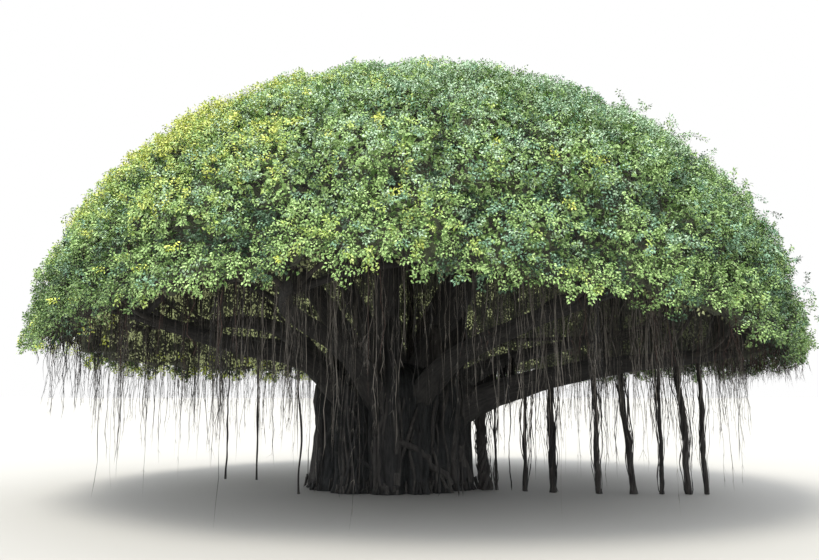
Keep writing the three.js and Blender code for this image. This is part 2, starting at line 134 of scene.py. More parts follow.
def in_ring(azimuth, angle, edges):
    """Which cell of a ring each place falls in."""
    up = np.maximum(angle, 0)
    seams = [edge + SEAM_SWAY * np.sin(np.radians(7 * up + 100 * edge)) for edge in edges]
    turned = (azimuth - seams[0]) % 360
    return sum((turned >= (seam - seams[0]) % 360).astype(int) for seam in seams[1:])


def mass_of(azimuth, angle):
    """The number in MASSES of the mass that each place belongs to."""
    shoulder = SHOULDER_FROM + SEAM_SWAY * np.sin(np.radians(3 * azimuth + 40))
    cap = CAP_FROM + 0.4 * SEAM_SWAY * np.sin(np.radians(3 * azimuth))
    on_rim = in_ring(azimuth, angle, RIM_EDGES[:-1])
    on_shoulder = len(RIM_MASSES) + in_ring(azimuth, angle, SHOULDER_EDGES)
    return np.where(angle < shoulder, on_rim, np.where(angle < cap, on_shoulder, len(MASSES) - 1))


print("masses:", len(MASSES), "rim at the front:", RIM_BASE + RIM_BUMPS[0][2], "m")

# %% [markdown]
# ## Sites
# Sprays of leaves, twigs and branches all need places that are even but not regular. Rows are walked up
# the dome at one spacing, each row holds as many places as its length takes, and each place is then
# shaken within its own share of the row. The seed makes it the same on every run.

# %% Sites over the dome
LOWEST = -24.0  # degrees, just under the lowest part of the rim


def sites(spacing, depth, seed, lift=0.0):
    """Azimuths and angles of places about a spacing apart, from the rim to the top."""
    rng = np.random.default_rng(seed)
    azimuths, angles = [], []
    angle = LOWEST
    while angle < 90:
        e = math.radians(angle)
        tall = (RISE if angle >= 0 else UNDER) - depth
        round_the_row = 2 * math.pi * (RADIUS - depth) * math.cos(e)
        count = max(3, round(round_the_row / spacing))
        step = math.degrees(spacing / math.hypot((RADIUS - depth) * math.sin(e), tall * math.cos(e)))
        azimuths.append(360 * (np.arange(count) + rng.random(count) + rng.random()) / count)
        angles.append(angle + step * rng.random(count))
        angle += step
    azimuths, angles = np.concatenate(azimuths) % 360, np.minimum(np.concatenate(angles), 90)
    kept = angles > rim_angle(azimuths, lift)
    return azimuths[kept], angles[kept]


def nearest(points, others, count):
    """Distances to and numbers of the nearest others of each point."""
    far, number = [], []
    for part in np.array_split(points, max(1, len(points) * len(others) // 8_000_000)):
        d = np.linalg.norm(part[:, None].astype("f4") - others[None].astype("f4"), axis=2)
        order = np.argpartition(d, count, axis=1)[:, :count]
        order = np.take_along_axis(order, np.argsort(np.take_along_axis(d, order, 1), axis=1), 1)
        far.append(np.take_along_axis(d, order, 1))
        number.append(order)
    return np.concatenate(far), np.concatenate(number)


print("places two metres apart:", len(sites(2.0, 0, seed=1)[0]))

# %% [markdown]
# ## Billows
# Shears leave the crown in soft lobes a metre or so wide, each proud at its lower edge and falling back
# to a dark crease where the next begins, with smaller tufts on them. Each lobe grows round one site. How
# much nearer a place is to its own lobe than to the next one tells how deep in the crease it lies.

# %% The clipped surface
LOBE = {"spacing": 1.3, "crease": 0.2, "width": 0.34, "overhang": 0.11}
TUFT = {"spacing": 0.42, "crease": 0.07, "width": 0.12}
FLATTEN = 1.35  # lobes are wider than they are high


def squeezed(points):
    return points * (1, 1, FLATTEN)


lobes = dome_point(*sites(LOBE["spacing"], 0, seed=11, lift=0.1), 0)
tufts = dome_point(*sites(TUFT["spacing"], 0, seed=12), 0)


def crease_between(points, centres, width):
    """How deep in the crease between two centres each point lies, from 0 to 1, and its own centre."""
    far, number = nearest(squeezed(points), squeezed(centres), 2)
    return np.exp(-(((far[:, 1] - far[:, 0]) / width) ** 1.3)), centres[number[:, 0]]


def billow(azimuth, angle):
    """The depth of the clipped surface under the outline at each place, and how deep in a crease it is."""
    p = dome_point(azimuth, angle, 0)
    crease, lobe = crease_between(p, lobes, LOBE["width"])
    tuft, _ = crease_between(p, tufts, TUFT["width"])
    above = np.clip((p[:, 2] - lobe[:, 2]) / LOBE["spacing"], -0.6, 0.6)
    level = np.cos(np.radians(angle))
    depth = LOBE["crease"] * crease + LOBE["overhang"] * level * (0.6 + above) + TUFT["crease"] * tuft
    return depth, np.maximum(crease, 0.6 * tuft)


print("lobes:", len(lobes), "tufts:", len(tufts))

# %% [markdown]
# ## Meshes from arrays
# A leaf is one small mesh, but a crown of them as separate objects would be slow and could not be
# exported. So each kind is made as one joined mesh straight from arrays of corners and faces. Limbs are
# closed grids of faces, and twigs and thin roots are tubes that run out to a point.

# %% Mesh helpers
def mesh_piece(name, corners, faces, materials, tints=None, uv=None):
    """A piece from corners and a list of face arrays. tints gives each face its material slot."""
    mesh = bpy.data.meshes.new(name)
    sizes = np.concatenate([np.full(len(f), f.shape[1]) for f in faces])
    loops = np.concatenate([f.ravel() for f in faces])
    mesh.vertices.add(len(corners))
    mesh.vertices.foreach_set("co", np.ascontiguousarray(corners, "f4").ravel())
    mesh.loops.add(len(loops))
    mesh.loops.foreach_set("vertex_index", loops.astype("i4"))
    mesh.polygons.add(len(sizes))
    mesh.polygons.foreach_set("loop_start", (np.cumsum(sizes) - sizes).astype("i4"))
    for material in materials:
        mesh.materials.append(material)
    if tints is not None:
        mesh.polygons.foreach_set("material_index", tints.astype("i4"))
    if uv is not None:
        mesh.uv_layers.new(name="along").data.foreach_set("uv", uv.astype("f4").ravel())
    mesh.update(calc_edges=True)
    mesh.validate()
    piece = bpy.data.objects.new(name, mesh)
    bpy.context.collection.objects.link(piece)
    return piece


def smooth(piece):
    piece.data.polygons.foreach_set("use_smooth", np.ones(len(piece.data.polygons), bool))
    return piece


def place(piece, slot, *nodes):
    """The piece rides on the tree and stands for the nodes it covers. Its slot is not used."""
    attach(piece, "root")
    if nodes:
        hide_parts(*nodes)


print("helpers for pieces:", [helper.__name__ for helper in (mesh_piece, smooth, place)])

# %% [markdown]
# A tube is rings of corners square to its path, with quads between them. Twigs and thin roots run out to a
# point, and one flat face closes them at the root. Hundreds are made at once and joined into one piece.

# %% Tubes from arrays
def rings_along(paths, radii, sides):
    """Rings of corners square to each path. paths is tubes by points by 3, radii tubes by points."""
    along = unit(np.gradient(paths, axis=1))
    whole = unit(paths[:, -1] - paths[:, 0])
    across = np.where(np.abs(whole[:, 2:]) > 0.75, (1.0, 0.0, 0.0), (0.0, 0.0, 1.0))
    side = unit(np.cross(along, across[:, None]))
    other = np.cross(along, side)
    turn = 2 * np.pi * np.arange(sides) / sides
    spoke = side[:, :, None] * np.cos(turn)[:, None] + other[:, :, None] * np.sin(turn)[:, None]
    return paths[:, :, None] + spoke * radii[:, :, None, None]


def ring_quads(sides, rows):
    """Quads between rows of corners, each row a closed ring."""
    k = np.arange(sides)
    on = (k + 1) % sides
    first = np.stack([k, on, on + sides, k + sides], 1)
    return (first[None] + sides * np.arange(rows - 1)[:, None, None]).reshape(-1, 4)


def pointed_tubes(paths, radii, sides):
    """Corners and faces of tubes that are closed at the root and run out to a point."""
    count, points = paths.shape[:2]
    rings = rings_along(paths, radii, sides)[:, :-1]
    corners = np.concatenate([rings.reshape(count, -1, 3), paths[:, -1:]], axis=1)
    each = corners.shape[1]
    k = np.arange(sides)
    last = (points - 2) * sides
    tip = np.stack([k + last, (k + 1) % sides + last, np.full(sides, each - 1)], 1)
    root = k[::-1][None]
    start = (np.arange(count) * each)[:, None, None]
    faces = [(f[None] + start).reshape(-1, f.shape[1]) for f in (ring_quads(sides, points - 1), tip, root)
             if len(f)]
    return corners.reshape(-1, 3), faces


def joined(parts):
    """Several (corners, faces) as one."""
    corners, faces, start = [], [], 0
    for c, f in parts:
        corners.append(c)
        faces += [face + start for face in f]
        start += len(c)
    return np.concatenate(corners), faces


print("helpers for tubes:", [helper.__name__ for helper in (rings_along, pointed_tubes, joined)])

# %% [markdown]
# ## Camera, floor and light
# The camera stands where the photograph was taken from: at eye height, a little under fifteen metres
# from the trunk, tilted up so that the horizon falls low in the picture. Its lens gives the same width
# of view. A pale floor and a soft studio sky light the tree, with one broad warm lamp high above it, a
# little to its left and front.

# %% Stage
EYE = (0.30, -14.77, 1.6)
FOCAL_PIXELS = 820
PHOTO_WIDTH, PHOTO_HEIGHT = 819, 560
HORIZON_Y = 395
SENSOR = 36
FLOOR_SIZE, FLOOR_Z = 900, -0.002  # just under the tree's foot
SKY_STRENGTH = 2.5
LAMP_STRENGTH, LAMP_SPREAD = 3.9, 25  # the spread in degrees
LAMP_FROM = Vector((-0.2, -0.2, 0.96))

camera_data = bpy.data.cameras.new("camera")
camera_data.sensor_width = SENSOR
camera_data.lens = SENSOR * FOCAL_PIXELS / PHOTO_WIDTH
camera = bpy.data.objects.new("camera", camera_data)
camera.location = EYE
camera.rotation_euler = (math.radians(90) + math.atan((HORIZON_Y - PHOTO_HEIGHT / 2) / FOCAL_PIXELS), 0, 0)
bpy.context.collection.objects.link(camera)
bpy.context.scene.camera = camera

bpy.ops.mesh.primitive_plane_add(size=FLOOR_SIZE, location=(0, 0, FLOOR_Z))
floor = bpy.context.object
floor.name = "floor"
floor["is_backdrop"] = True
floor_paint = bpy.data.materials.new("floor_paint")
floor_paint.use_nodes = True
floor_shader = floor_paint.node_tree.nodes["Principled BSDF"]
floor_shader.inputs["Base Color"].default_value = (0.27, 0.266, 0.255, 1)
floor_shader.inputs["Roughness"].default_value = 0.9
floor.data.materials.append(floor_paint)

sky = bpy.data.worlds.new("studio_sky")
bpy.context.scene.world = sky
sky.use_nodes = True
lit = sky.node_tree.nodes["Background"]
lit.inputs["Color"].default_value = (0.96, 0.98, 1.0, 1)
lit.inputs["Strength"].default_value = SKY_STRENGTH
seen = sky.node_tree.nodes.new("ShaderNodeBackground")
seen.inputs["Color"].default_value = (1, 1, 1, 1)  # plain white, so that thin roots show against it
either = sky.node_tree.nodes.new("ShaderNodeMixShader")
ray = sky.node_tree.nodes.new("ShaderNodeLightPath")
sky.node_tree.links.new(ray.outputs["Is Camera Ray"], either.inputs[0])
sky.node_tree.links.new(lit.outputs[0], either.inputs[1])
sky.node_tree.links.new(seen.outputs[0], either.inputs[2])
sky.node_tree.links.new(either.outputs[0], sky.node_tree.nodes["World Output"].inputs["Surface"])

lamp_data = bpy.data.lights.new("warm_lamp", "SUN")
lamp_data.energy = LAMP_STRENGTH
lamp_data.angle = math.radians(LAMP_SPREAD)
lamp_data.color = (1.0, 0.95, 0.84)
lamp = bpy.data.objects.new("warm_lamp", lamp_data)
lamp.rotation_euler = LAMP_FROM.to_track_quat("Z", "Y").to_euler()
bpy.context.collection.objects.link(lamp)
bpy.context.scene.view_settings.view_transform = "Standard"
print("camera tilt:", round(math.degrees(camera.rotation_euler.x) - 90, 2), "degrees")

# %% [markdown]
# ## Bark and leaf finishes
# Two effects are used by many materials, so each is a node group. Bark is streaked along the limb, from
# nearly black in the furrows to grey-brown on the ridges, with paler patches of lichen and fine cracks for
# its bump. Leaf skin goes from one colour to a younger one from leaf to leaf, with a gloss that comes and
# goes. A few small helpers first make and join the nodes.

# %% Node helpers
def new_group(name, colours):
    """A group that takes a place and some colours, and puts out a colour, a roughness and a height."""
    group = bpy.data.node_groups.new(name, "ShaderNodeTree")
    group.interface.new_socket("Vector", in_out="INPUT", socket_type="NodeSocketVector")
    for title, colour in colours.items():
        socket = group.interface.new_socket(title, in_out="INPUT", socket_type="NodeSocketColor")
        socket.default_value = (*colour, 1)
    for title, kind in (("Color", "Color"), ("Roughness", "Float"), ("Height", "Float")):
        group.interface.new_socket(title, in_out="OUTPUT", socket_type="NodeSocket" + kind)
    return group, group.nodes.new("NodeGroupInput"), group.nodes.new("NodeGroupOutput")


def node(tree, kind, **settings):
    made = tree.nodes.new("ShaderNode" + kind)
    for key, value in settings.items():
        setattr(made, key, value)
    return made


def mix_colours(tree, factor, first, second):
    """A colour mix whose three inputs are sockets or plain values."""
    mix = node(tree, "Mix", data_type="RGBA")
    for socket, value in zip((mix.inputs[0], mix.inputs[6], mix.inputs[7]), (factor, first, second)):
        if isinstance(value, bpy.types.NodeSocket):
            tree.links.new(value, socket)
        else:
            socket.default_value = value
    return mix.outputs[2]


def noise(tree, vector, scale, detail, roughness):
    made = node(tree, "TexNoise")
    made.inputs["Scale"].default_value = scale
    made.inputs["Detail"].default_value = detail
    made.inputs["Roughness"].default_value = roughness
    tree.links.new(vector, made.inputs["Vector"])
    return made.outputs["Fac"]


def ramp(tree, value, low, high, to_low=0.0, to_high=1.0):
    """A value moved from one range to another and kept inside it."""
    made = node(tree, "MapRange")
    for socket, number in zip(made.inputs[1:5], (low, high, to_low, to_high)):
        socket.default_value = number
    tree.links.new(value, made.inputs[0])
    return made.outputs[0]


print("helpers for nodes:", [helper.__name__ for helper in (new_group, node, mix_colours, noise, ramp)])

# %% [markdown]
# Bark needs noise at several sizes: long streaks that follow the limb, broad dark stretches, patches of
# lichen, and cracks that only the bump shows. Leaves need only two: one that changes from leaf to leaf, and
# a finer one for their gloss and bump.

# %% Bark and leaf groups
def bark_group():
    group, given, out = new_group("streaked_bark", {
        "Furrow": (0.02, 0.016, 0.013), "Ridge": (0.16, 0.13, 0.105), "Lichen": (0.3, 0.28, 0.24)})
    stretch = node(group, "Mapping")
    stretch.inputs["Scale"].default_value = (1, 1, 0.16)
    group.links.new(given.outputs["Vector"], stretch.inputs["Vector"])
    streaks = noise(group, stretch.outputs[0], scale=26, detail=6, roughness=0.65)
    broad = noise(group, stretch.outputs[0], scale=5, detail=3, roughness=0.5)
    patches = noise(group, given.outputs["Vector"], scale=3.2, detail=5, roughness=0.7)
    cracks = noise(group, given.outputs["Vector"], scale=60, detail=4, roughness=0.7)
    furrow, ridge, lichen = (given.outputs[title] for title in ("Furrow", "Ridge", "Lichen"))
    colour = mix_colours(group, ramp(group, streaks, 0.36, 0.66), furrow, ridge)
    shaded = mix_colours(group, ramp(group, broad, 0.35, 0.7, 0.0, 0.55), colour, furrow)
    spotted = mix_colours(group, ramp(group, patches, 0.56, 0.74, 0.0, 0.6), shaded, lichen)
    height = node(group, "Math", operation="MULTIPLY_ADD")
    height.inputs[1].default_value = 0.3
    group.links.new(cracks, height.inputs[0])
    group.links.new(streaks, height.inputs[2])
    group.links.new(spotted, out.inputs["Color"])
    group.links.new(ramp(group, streaks, 0.3, 0.7, 0.98, 0.8), out.inputs["Roughness"])
    group.links.new(height.outputs[0], out.inputs["Height"])
    return group


def leaf_group():
    group, given, out = new_group("leaf_skin", {"Leaf": (0.1, 0.2, 0.04), "Young": (0.3, 0.4, 0.1)})
    from_leaf_to_leaf = noise(group, given.outputs["Vector"], scale=38, detail=2, roughness=0.6)
    blotches = noise(group, given.outputs["Vector"], scale=70, detail=3, roughness=0.6)
    colour = mix_colours(group, ramp(group, from_leaf_to_leaf, 0.44, 0.6, 0.0, 0.95),
                         given.outputs["Leaf"], given.outputs["Young"])
    group.links.new(colour, out.inputs["Color"])
    group.links.new(ramp(group, blotches, 0.3, 0.7, 0.36, 0.58), out.inputs["Roughness"])
    group.links.new(blotches, out.inputs["Height"])
    return group


streaked_bark = bark_group()
leaf_skin = leaf_group()
print("node groups:", [g.name for g in (streaked_bark, leaf_skin)])

# %% [markdown]
# Each material then places its group and keeps the shader itself. The bark of the trunk and of swept limbs
# reads their own UV map, so that its streaks follow the bend. Leaves, twigs and thin roots read Object
# coordinates. The underside of a leaf is paler than its face, which Backfacing picks out.

# %% Makers of finishes
def finish(name, group, colours, vector_from, bump, distance, haze=0.0):
    """A material from one of the groups. haze is the little stray light that is seen even in deep shade."""
    material = bpy.data.materials.new(name)
    material.use_nodes = True
    tree = material.node_tree
    shader = tree.nodes["Principled BSDF"]
    placed = node(tree, "Group", node_tree=group)
    if vector_from == "UV":
        where = node(tree, "UVMap", uv_map="along")
        turned = node(tree, "SeparateXYZ")
        tree.links.new(where.outputs["UV"], turned.inputs[0])
        upright = node(tree, "CombineXYZ")
        tree.links.new(turned.outputs["X"], upright.inputs["X"])
        tree.links.new(turned.outputs["Y"], upright.inputs["Z"])
        tree.links.new(upright.outputs[0], placed.inputs["Vector"])
    else:
        tree.links.new(node(tree, "TexCoord").outputs["Object"], placed.inputs["Vector"])
    for title, colour in colours.items():
        placed.inputs[title].default_value = (*colour, 1)
    relief = node(tree, "Bump")
    relief.inputs["Strength"].default_value = bump
    relief.inputs["Distance"].default_value = distance
    tree.links.new(placed.outputs["Height"], relief.inputs["Height"])
    tree.links.new(relief.outputs["Normal"], shader.inputs["Normal"])
    tree.links.new(placed.outputs["Color"], shader.inputs["Base Color"])
    tree.links.new(placed.outputs["Roughness"], shader.inputs["Roughness"])
    shader.inputs["Emission Color"].default_value = (1, 1, 0.95, 1)
    shader.inputs["Emission Strength"].default_value = haze
    return material


def bark_finish(name, furrow, ridge, lichen, vector_from="Object", bump=0.5, distance=0.004, haze=0.0):
    colours = {"Furrow": furrow, "Ridge": ridge, "Lichen": lichen}
    return finish(name, streaked_bark, colours, vector_from, bump, distance, haze)


def leaf_finish(name, leaf, young, underside):
    colours = {"Leaf": leaf, "Young": young}
    material = finish(name, leaf_skin, colours, "Object", bump=0.25, distance=0.004)
    tree = material.node_tree
    shader = tree.nodes["Principled BSDF"]
    group = tree.nodes["Group"]
    facing = node(tree, "NewGeometry")
    colour = mix_colours(tree, facing.outputs["Backfacing"], group.outputs["Color"], (*underside, 1))
    tree.links.new(colour, shader.inputs["Base Color"])
    shader.inputs["Specular IOR Level"].default_value = 0.28
    return material


print("makers of finishes:", [maker.__name__ for maker in (bark_finish, leaf_finish)])

# %% [markdown]
# A clipped fig is many greens at once: yellow where it is young and where sunlight is painted on the left
# side, silvery where the sky shines on it, as a painted sheen, bluish and deep elsewhere, deep also where
# shade is painted low down and in the creases, and nearly black as painted shadow in the pockets. Each tint
# is its own plain material with three colours, those of the leaf, of a younger one and of the underside.

# %% Leaf tints
LEAF_TINTS = {
    "leaf_sunlit": ((0.37, 0.43, 0.06), (0.57, 0.60, 0.18), (0.47, 0.51, 0.14)),
    "leaf_fresh": ((0.25, 0.36, 0.06), (0.45, 0.55, 0.19), (0.36, 0.46, 0.15)),
    "leaf_mid": ((0.15, 0.27, 0.07), (0.43, 0.58, 0.24), (0.30, 0.44, 0.16)),
    # leaf_deep is a leaf colour, and also painted shade where it is dealt low down and in creases.
    "leaf_deep": ((0.045, 0.10, 0.025), (0.23, 0.34, 0.11), (0.15, 0.25, 0.09)),
    # A silvery painted sheen of the sky on the leaves.
    "leaf_sky_sheen": ((0.16, 0.28, 0.14), (0.47, 0.60, 0.44), (0.34, 0.46, 0.29)),
    "leaf_blue": ((0.08, 0.18, 0.10), (0.27, 0.43, 0.29), (0.18, 0.32, 0.19)),
    # Nearly black painted shadow in the pockets.
    "leaf_shadow_pocket": ((0.02, 0.05, 0.025), (0.08, 0.15, 0.08), (0.06, 0.11, 0.05)),
    "leaf_inner": ((0.09, 0.11, 0.05), (0.20, 0.22, 0.11), (0.18, 0.20, 0.09)),
    # Inner leaves painted as lit from behind, with the glow given below.
    "leaf_lit_speck": ((0.22, 0.25, 0.14), (0.36, 0.38, 0.24), (0.30, 0.33, 0.20)),
    "leaf_backlit": ((0.50, 0.58, 0.09), (0.64, 0.70, 0.18), (0.60, 0.68, 0.12)),
}
leaf_paints = [leaf_finish(name, *colours) for name, colours in LEAF_TINTS.items()]
SUNLIT, FRESH, MID, DEEP, SKY_SHEEN, BLUE, SHADOW_POCKET, INNER, LIT_SPECK, BACKLIT = range(len(leaf_paints))

# Light that comes through a thin leaf is a faint glow of its own, as the leaves here are opaque.
GLOWS = {BACKLIT: (0.14, 0.16, 0.03), LIT_SPECK: (0.29, 0.32, 0.15), INNER: (0.034, 0.038, 0.021)}
for tint, glow in GLOWS.items():
    shader = leaf_paints[tint].node_tree.nodes["Principled BSDF"]
    shader.inputs["Emission Color"].default_value = (*glow, 1)
    shader.inputs["Emission Strength"].default_value = 1
print("leaf tints:", len(leaf_paints))

# %% [markdown]
# The trunk's bark is the darkest and the most deeply furrowed, that of boughs and props a little browner.
# Thin roots are pale where they are dry, brown or dark where they are damp, and rusty in the short fringe
# under the rim. More of them are pale on the right, where light comes in, and there the paleness is painted
# light.

# %% Bark and root tints
trunk_bark = bark_finish("trunk_bark", (0.001, 0.0014, 0.0016), (0.016, 0.018, 0.018), (0.066, 0.07, 0.06),
                         vector_from="UV", bump=0.9, distance=0.03)
bough_bark = bark_finish("bough_bark", (0.005, 0.0045, 0.0045), (0.026, 0.023, 0.02), (0.055, 0.05, 0.042),
                         vector_from="UV", bump=0.8, distance=0.015, haze=0.004)
prop_bark = bark_finish("prop_bark", (0.005, 0.004, 0.004), (0.033, 0.028, 0.024), (0.07, 0.062, 0.05),
                        vector_from="UV", bump=0.8, distance=0.012)
twig_bark = bark_finish("twig_bark", (0.01, 0.008, 0.006), (0.05, 0.04, 0.03), (0.08, 0.072, 0.055),
                        bump=0.4, haze=0.007)
# Dark green, as the tangle is partly painted shade of the crown's deep inside, and its haze is painted
# light.
shaded_tangle_paint = bark_finish("tangle_of_twigs_and_shade", (0.03, 0.034, 0.02), (0.11, 0.13, 0.06), (0.14, 0.18, 0.07),
                           bump=1, distance=0.03, haze=0.011)
ROOT_TINTS = {
    "root_pale": ((0.08, 0.072, 0.062), (0.24, 0.215, 0.185), (0.33, 0.30, 0.26)),
    "root_brown": ((0.013, 0.012, 0.011), (0.046, 0.042, 0.038), (0.085, 0.078, 0.068)),
    "root_dark": ((0.004, 0.004, 0.004), (0.017, 0.0165, 0.016), (0.034, 0.032, 0.029)),
    "root_rust": ((0.02, 0.009, 0.006), (0.065, 0.031, 0.021), (0.09, 0.055, 0.04)),
}
root_paints = [bark_finish(name, *colours) for name, colours in ROOT_TINTS.items()]
PALE, BROWN, DARK, RUST = range(len(root_paints))
print("root tints:", len(root_paints))

# %% [markdown]
# ## The trunk
# Dozens of roots that once hung free have grown together into one column, so the trunk is round-backed
# ribs with sharp dark valleys between them. Two rules give its surface: one for the column's own profile
# and its thirteen ribs, and one for narrower roots that wander up it, part and run together.

# %% Surface of the trunk
TRUNK = {"half_width": 1.4, "half_depth": 1.15, "lean": 0.06, "ribs": 13, "rib_depth": 0.13, "top": 2.15}
TRUNK_PROFILE = [(0, 1.04), (0.11, 0.985), (0.33, 0.955), (1.1, 0.945), (1.5, 0.985),
                 (1.75, 0.96), (1.95, 0.83), (2.08, 0.6), (2.15, 0.36)]
FUSED_ROOTS = 74


def rib_edges():
    rib = np.arange(TRUNK["ribs"] + 1)
    return (rib + 0.3 * np.sin(6 * np.pi * rib / TRUNK["ribs"])) / TRUNK["ribs"] * 2 * np.pi


def trunk_skin(turn, z, proud):
    """Points at turns in radians and heights that lie proud of the trunk's ribbed surface."""
    share = np.interp(z, *zip(*TRUNK_PROFILE))
    edges = rib_edges()
    twisted = turn - 0.06 * np.sin(z / 0.5 + TRUNK["ribs"] * turn / (2 * np.pi))
    rib = np.clip(np.searchsorted(edges, twisted % (2 * np.pi), side="right") - 1, 0, TRUNK["ribs"] - 1)
    across = (twisted % (2 * np.pi) - edges[rib]) / (edges[rib + 1] - edges[rib])
    size = TRUNK["rib_depth"] * (1 + 0.45 * np.sin(2.4 * rib + z / 0.9)) * np.interp(z, (0, 0.2), (1.25, 1))
    rounded = share * (1 - size + size * np.sin(np.pi * np.clip(across, 0, 1)) ** 0.6 * 1.1)
    middle = TRUNK["lean"] * z / TRUNK["top"]
    return np.stack([middle + (rounded * TRUNK["half_width"] + proud) * np.cos(turn),
                     (rounded * TRUNK["half_depth"] + proud) * np.sin(turn), z], -1)


def fused_root_relief(turn, z, seed):
    """How far each place stands out, from roots of different widths that wander up the column."""
    rng = np.random.default_rng(seed)
    relief = np.zeros(turn.shape)
    for k in range(FUSED_ROOTS):
        centre = 2 * np.pi * (k + rng.random()) / FUSED_ROOTS
        centre = centre + 0.05 * np.sin(z * rng.uniform(1.2, 2.6) + 6 * rng.random())
        centre = centre + 0.015 * np.sin(z * 9 + 6 * rng.random()) + 0.04 * (rng.random() - 0.5) * z
        half = rng.uniform(0.026, 0.07)
        off = np.abs((turn - centre + np.pi) % (2 * np.pi) - np.pi) / half
        height = rng.uniform(0.02, 0.075) * np.sqrt(np.clip(1 - off * off, 0, 1))
        starts = rng.uniform(-1.5, 0.8)
        relief = np.maximum(relief, height * np.clip((z - starts) / 0.3, 0, 1))
    return relief


print("ribs:", TRUNK["ribs"], "fused roots:", FUSED_ROOTS)

# %% [markdown]
# The column starts as a plain cylinder. Its upright edges are subdivided in edit mode into many rings, and
# each corner is then moved to where the two rules say. Its UV map is measured in metres of bark.

# %% Trunk column
TRUNK_SIDES, TRUNK_RINGS = 420, 130
SUNK = 0.02  # how far the ribs lie inside the outline, so that the fused roots can stand out to it
BARK_RADIUS = 1.3  # metres of bark to a radian, all round the column

bpy.ops.mesh.primitive_cylinder_add(vertices=TRUNK_SIDES, radius=1, depth=1, location=(0, 0, 0.5),
                                    end_fill_type="NGON")
trunk = bpy.context.object
trunk.name = "trunk_of_fused_roots"
bpy.ops.object.transform_apply(location=True, rotation=True, scale=True)
bpy.context.tool_settings.mesh_select_mode = (False, True, False)
bpy.ops.object.mode_set(mode="EDIT")
bpy.ops.mesh.select_all(action="DESELECT")
bpy.ops.object.mode_set(mode="OBJECT")
for edge in trunk.data.edges:
    low, high = (trunk.data.vertices[i].co.z for i in edge.vertices)
    edge.select = abs(high - low) > 0.5
bpy.ops.object.mode_set(mode="EDIT")
bpy.ops.mesh.subdivide(number_cuts=TRUNK_RINGS)
bpy.ops.object.mode_set(mode="OBJECT")
corners = np.empty(len(trunk.data.vertices) * 3, "f4")
trunk.data.vertices.foreach_get("co", corners)
corners = corners.reshape(-1, 3).astype(float)
turns = np.arctan2(corners[:, 1], corners[:, 0]) % (2 * np.pi)
heights = TRUNK["top"] * np.clip(corners[:, 2], 0, 1) ** 0.92
relief = fused_root_relief(turns, heights, seed=21) * np.interp(heights, (1.7, TRUNK["top"]), (1, 0.3))
shaped = trunk_skin(turns, heights, relief - SUNK)
trunk.data.vertices.foreach_set("co", shaped.astype("f4").ravel())
loop_corner = np.empty(len(trunk.data.loops), "i4")
trunk.data.loops.foreach_get("vertex_index", loop_corner)
loop_uv = np.stack([turns * BARK_RADIUS, heights], 1)[loop_corner]
trunk.data.uv_layers.new(name="along").data.foreach_set("uv", loop_uv.astype("f4").ravel())
trunk.data.materials.append(trunk_bark)
bpy.ops.object.shade_smooth()
place(trunk, "bark", "trunk")
print("trunk corners:", len(corners), "size:", (shaped.max(0) - shaped.min(0)).round(2))

# %% [markdown]
# ## Smooth ways for limbs
# Every limb follows a smooth curve through a few points, taken at even steps along its length. The curve
# is the centripetal Catmull-Rom one that the frame's limbs follow, so a bough here lies on its solid.

# %% Curve helper
def smooth_way(points, shares):
    """Points at shares of the length of the smooth curve through the given points."""
    p = [np.asarray(q, float) for q in points]
    p = [2 * p[0] - p[1], *p, 2 * p[-1] - p[-2]]
    s = np.linspace(0, 1, 60, endpoint=False)[:, None]
    fine = []
    for a, b, c, d in zip(p, p[1:], p[2:], p[3:]):
        t0, t1, t2 = (max(np.linalg.norm(v - u) ** 0.5, 1e-4) for u, v in ((a, b), (b, c), (c, d)))
        m1 = ((b - a) / t0 - (c - a) / (t0 + t1) + (c - b) / t1) * t1
        m2 = ((c - b) / t1 - (d - b) / (t1 + t2) + (d - c) / t2) * t1
        fine.append(b + m1 * s + (3 * (c - b) - 2 * m1 - m2) * s**2 + (2 * (b - c) + m1 + m2) * s**3)
    fine = np.concatenate([*fine, p[-2][None]])
    walked = np.concatenate([[0], np.cumsum(np.linalg.norm(np.diff(fine, axis=0), axis=1))])
    return np.stack([np.interp(np.asarray(shares) * walked[-1], walked, fine[:, k]) for k in range(3)], -1)


def polar(azimuth, out, z):
    a = math.radians(azimuth)
    return (out * math.cos(a), out * math.sin(a), z)


print("a bend through three points:", smooth_way([(0, 0, 0), (1, 0, 1), (2, 0, 0)], [0.5]).round(2))

# %% [markdown]
# ## Bark relief on swept limbs
# A limb is a grid of corners swept along its way. Its section is never round: a few fused roots run along
# it as soft ribs that turn slowly, and burrs and hollows come and go. The grid is moved in and out by
# those before it becomes a mesh, so that the relief is real, and its UV map follows the limb in metres.

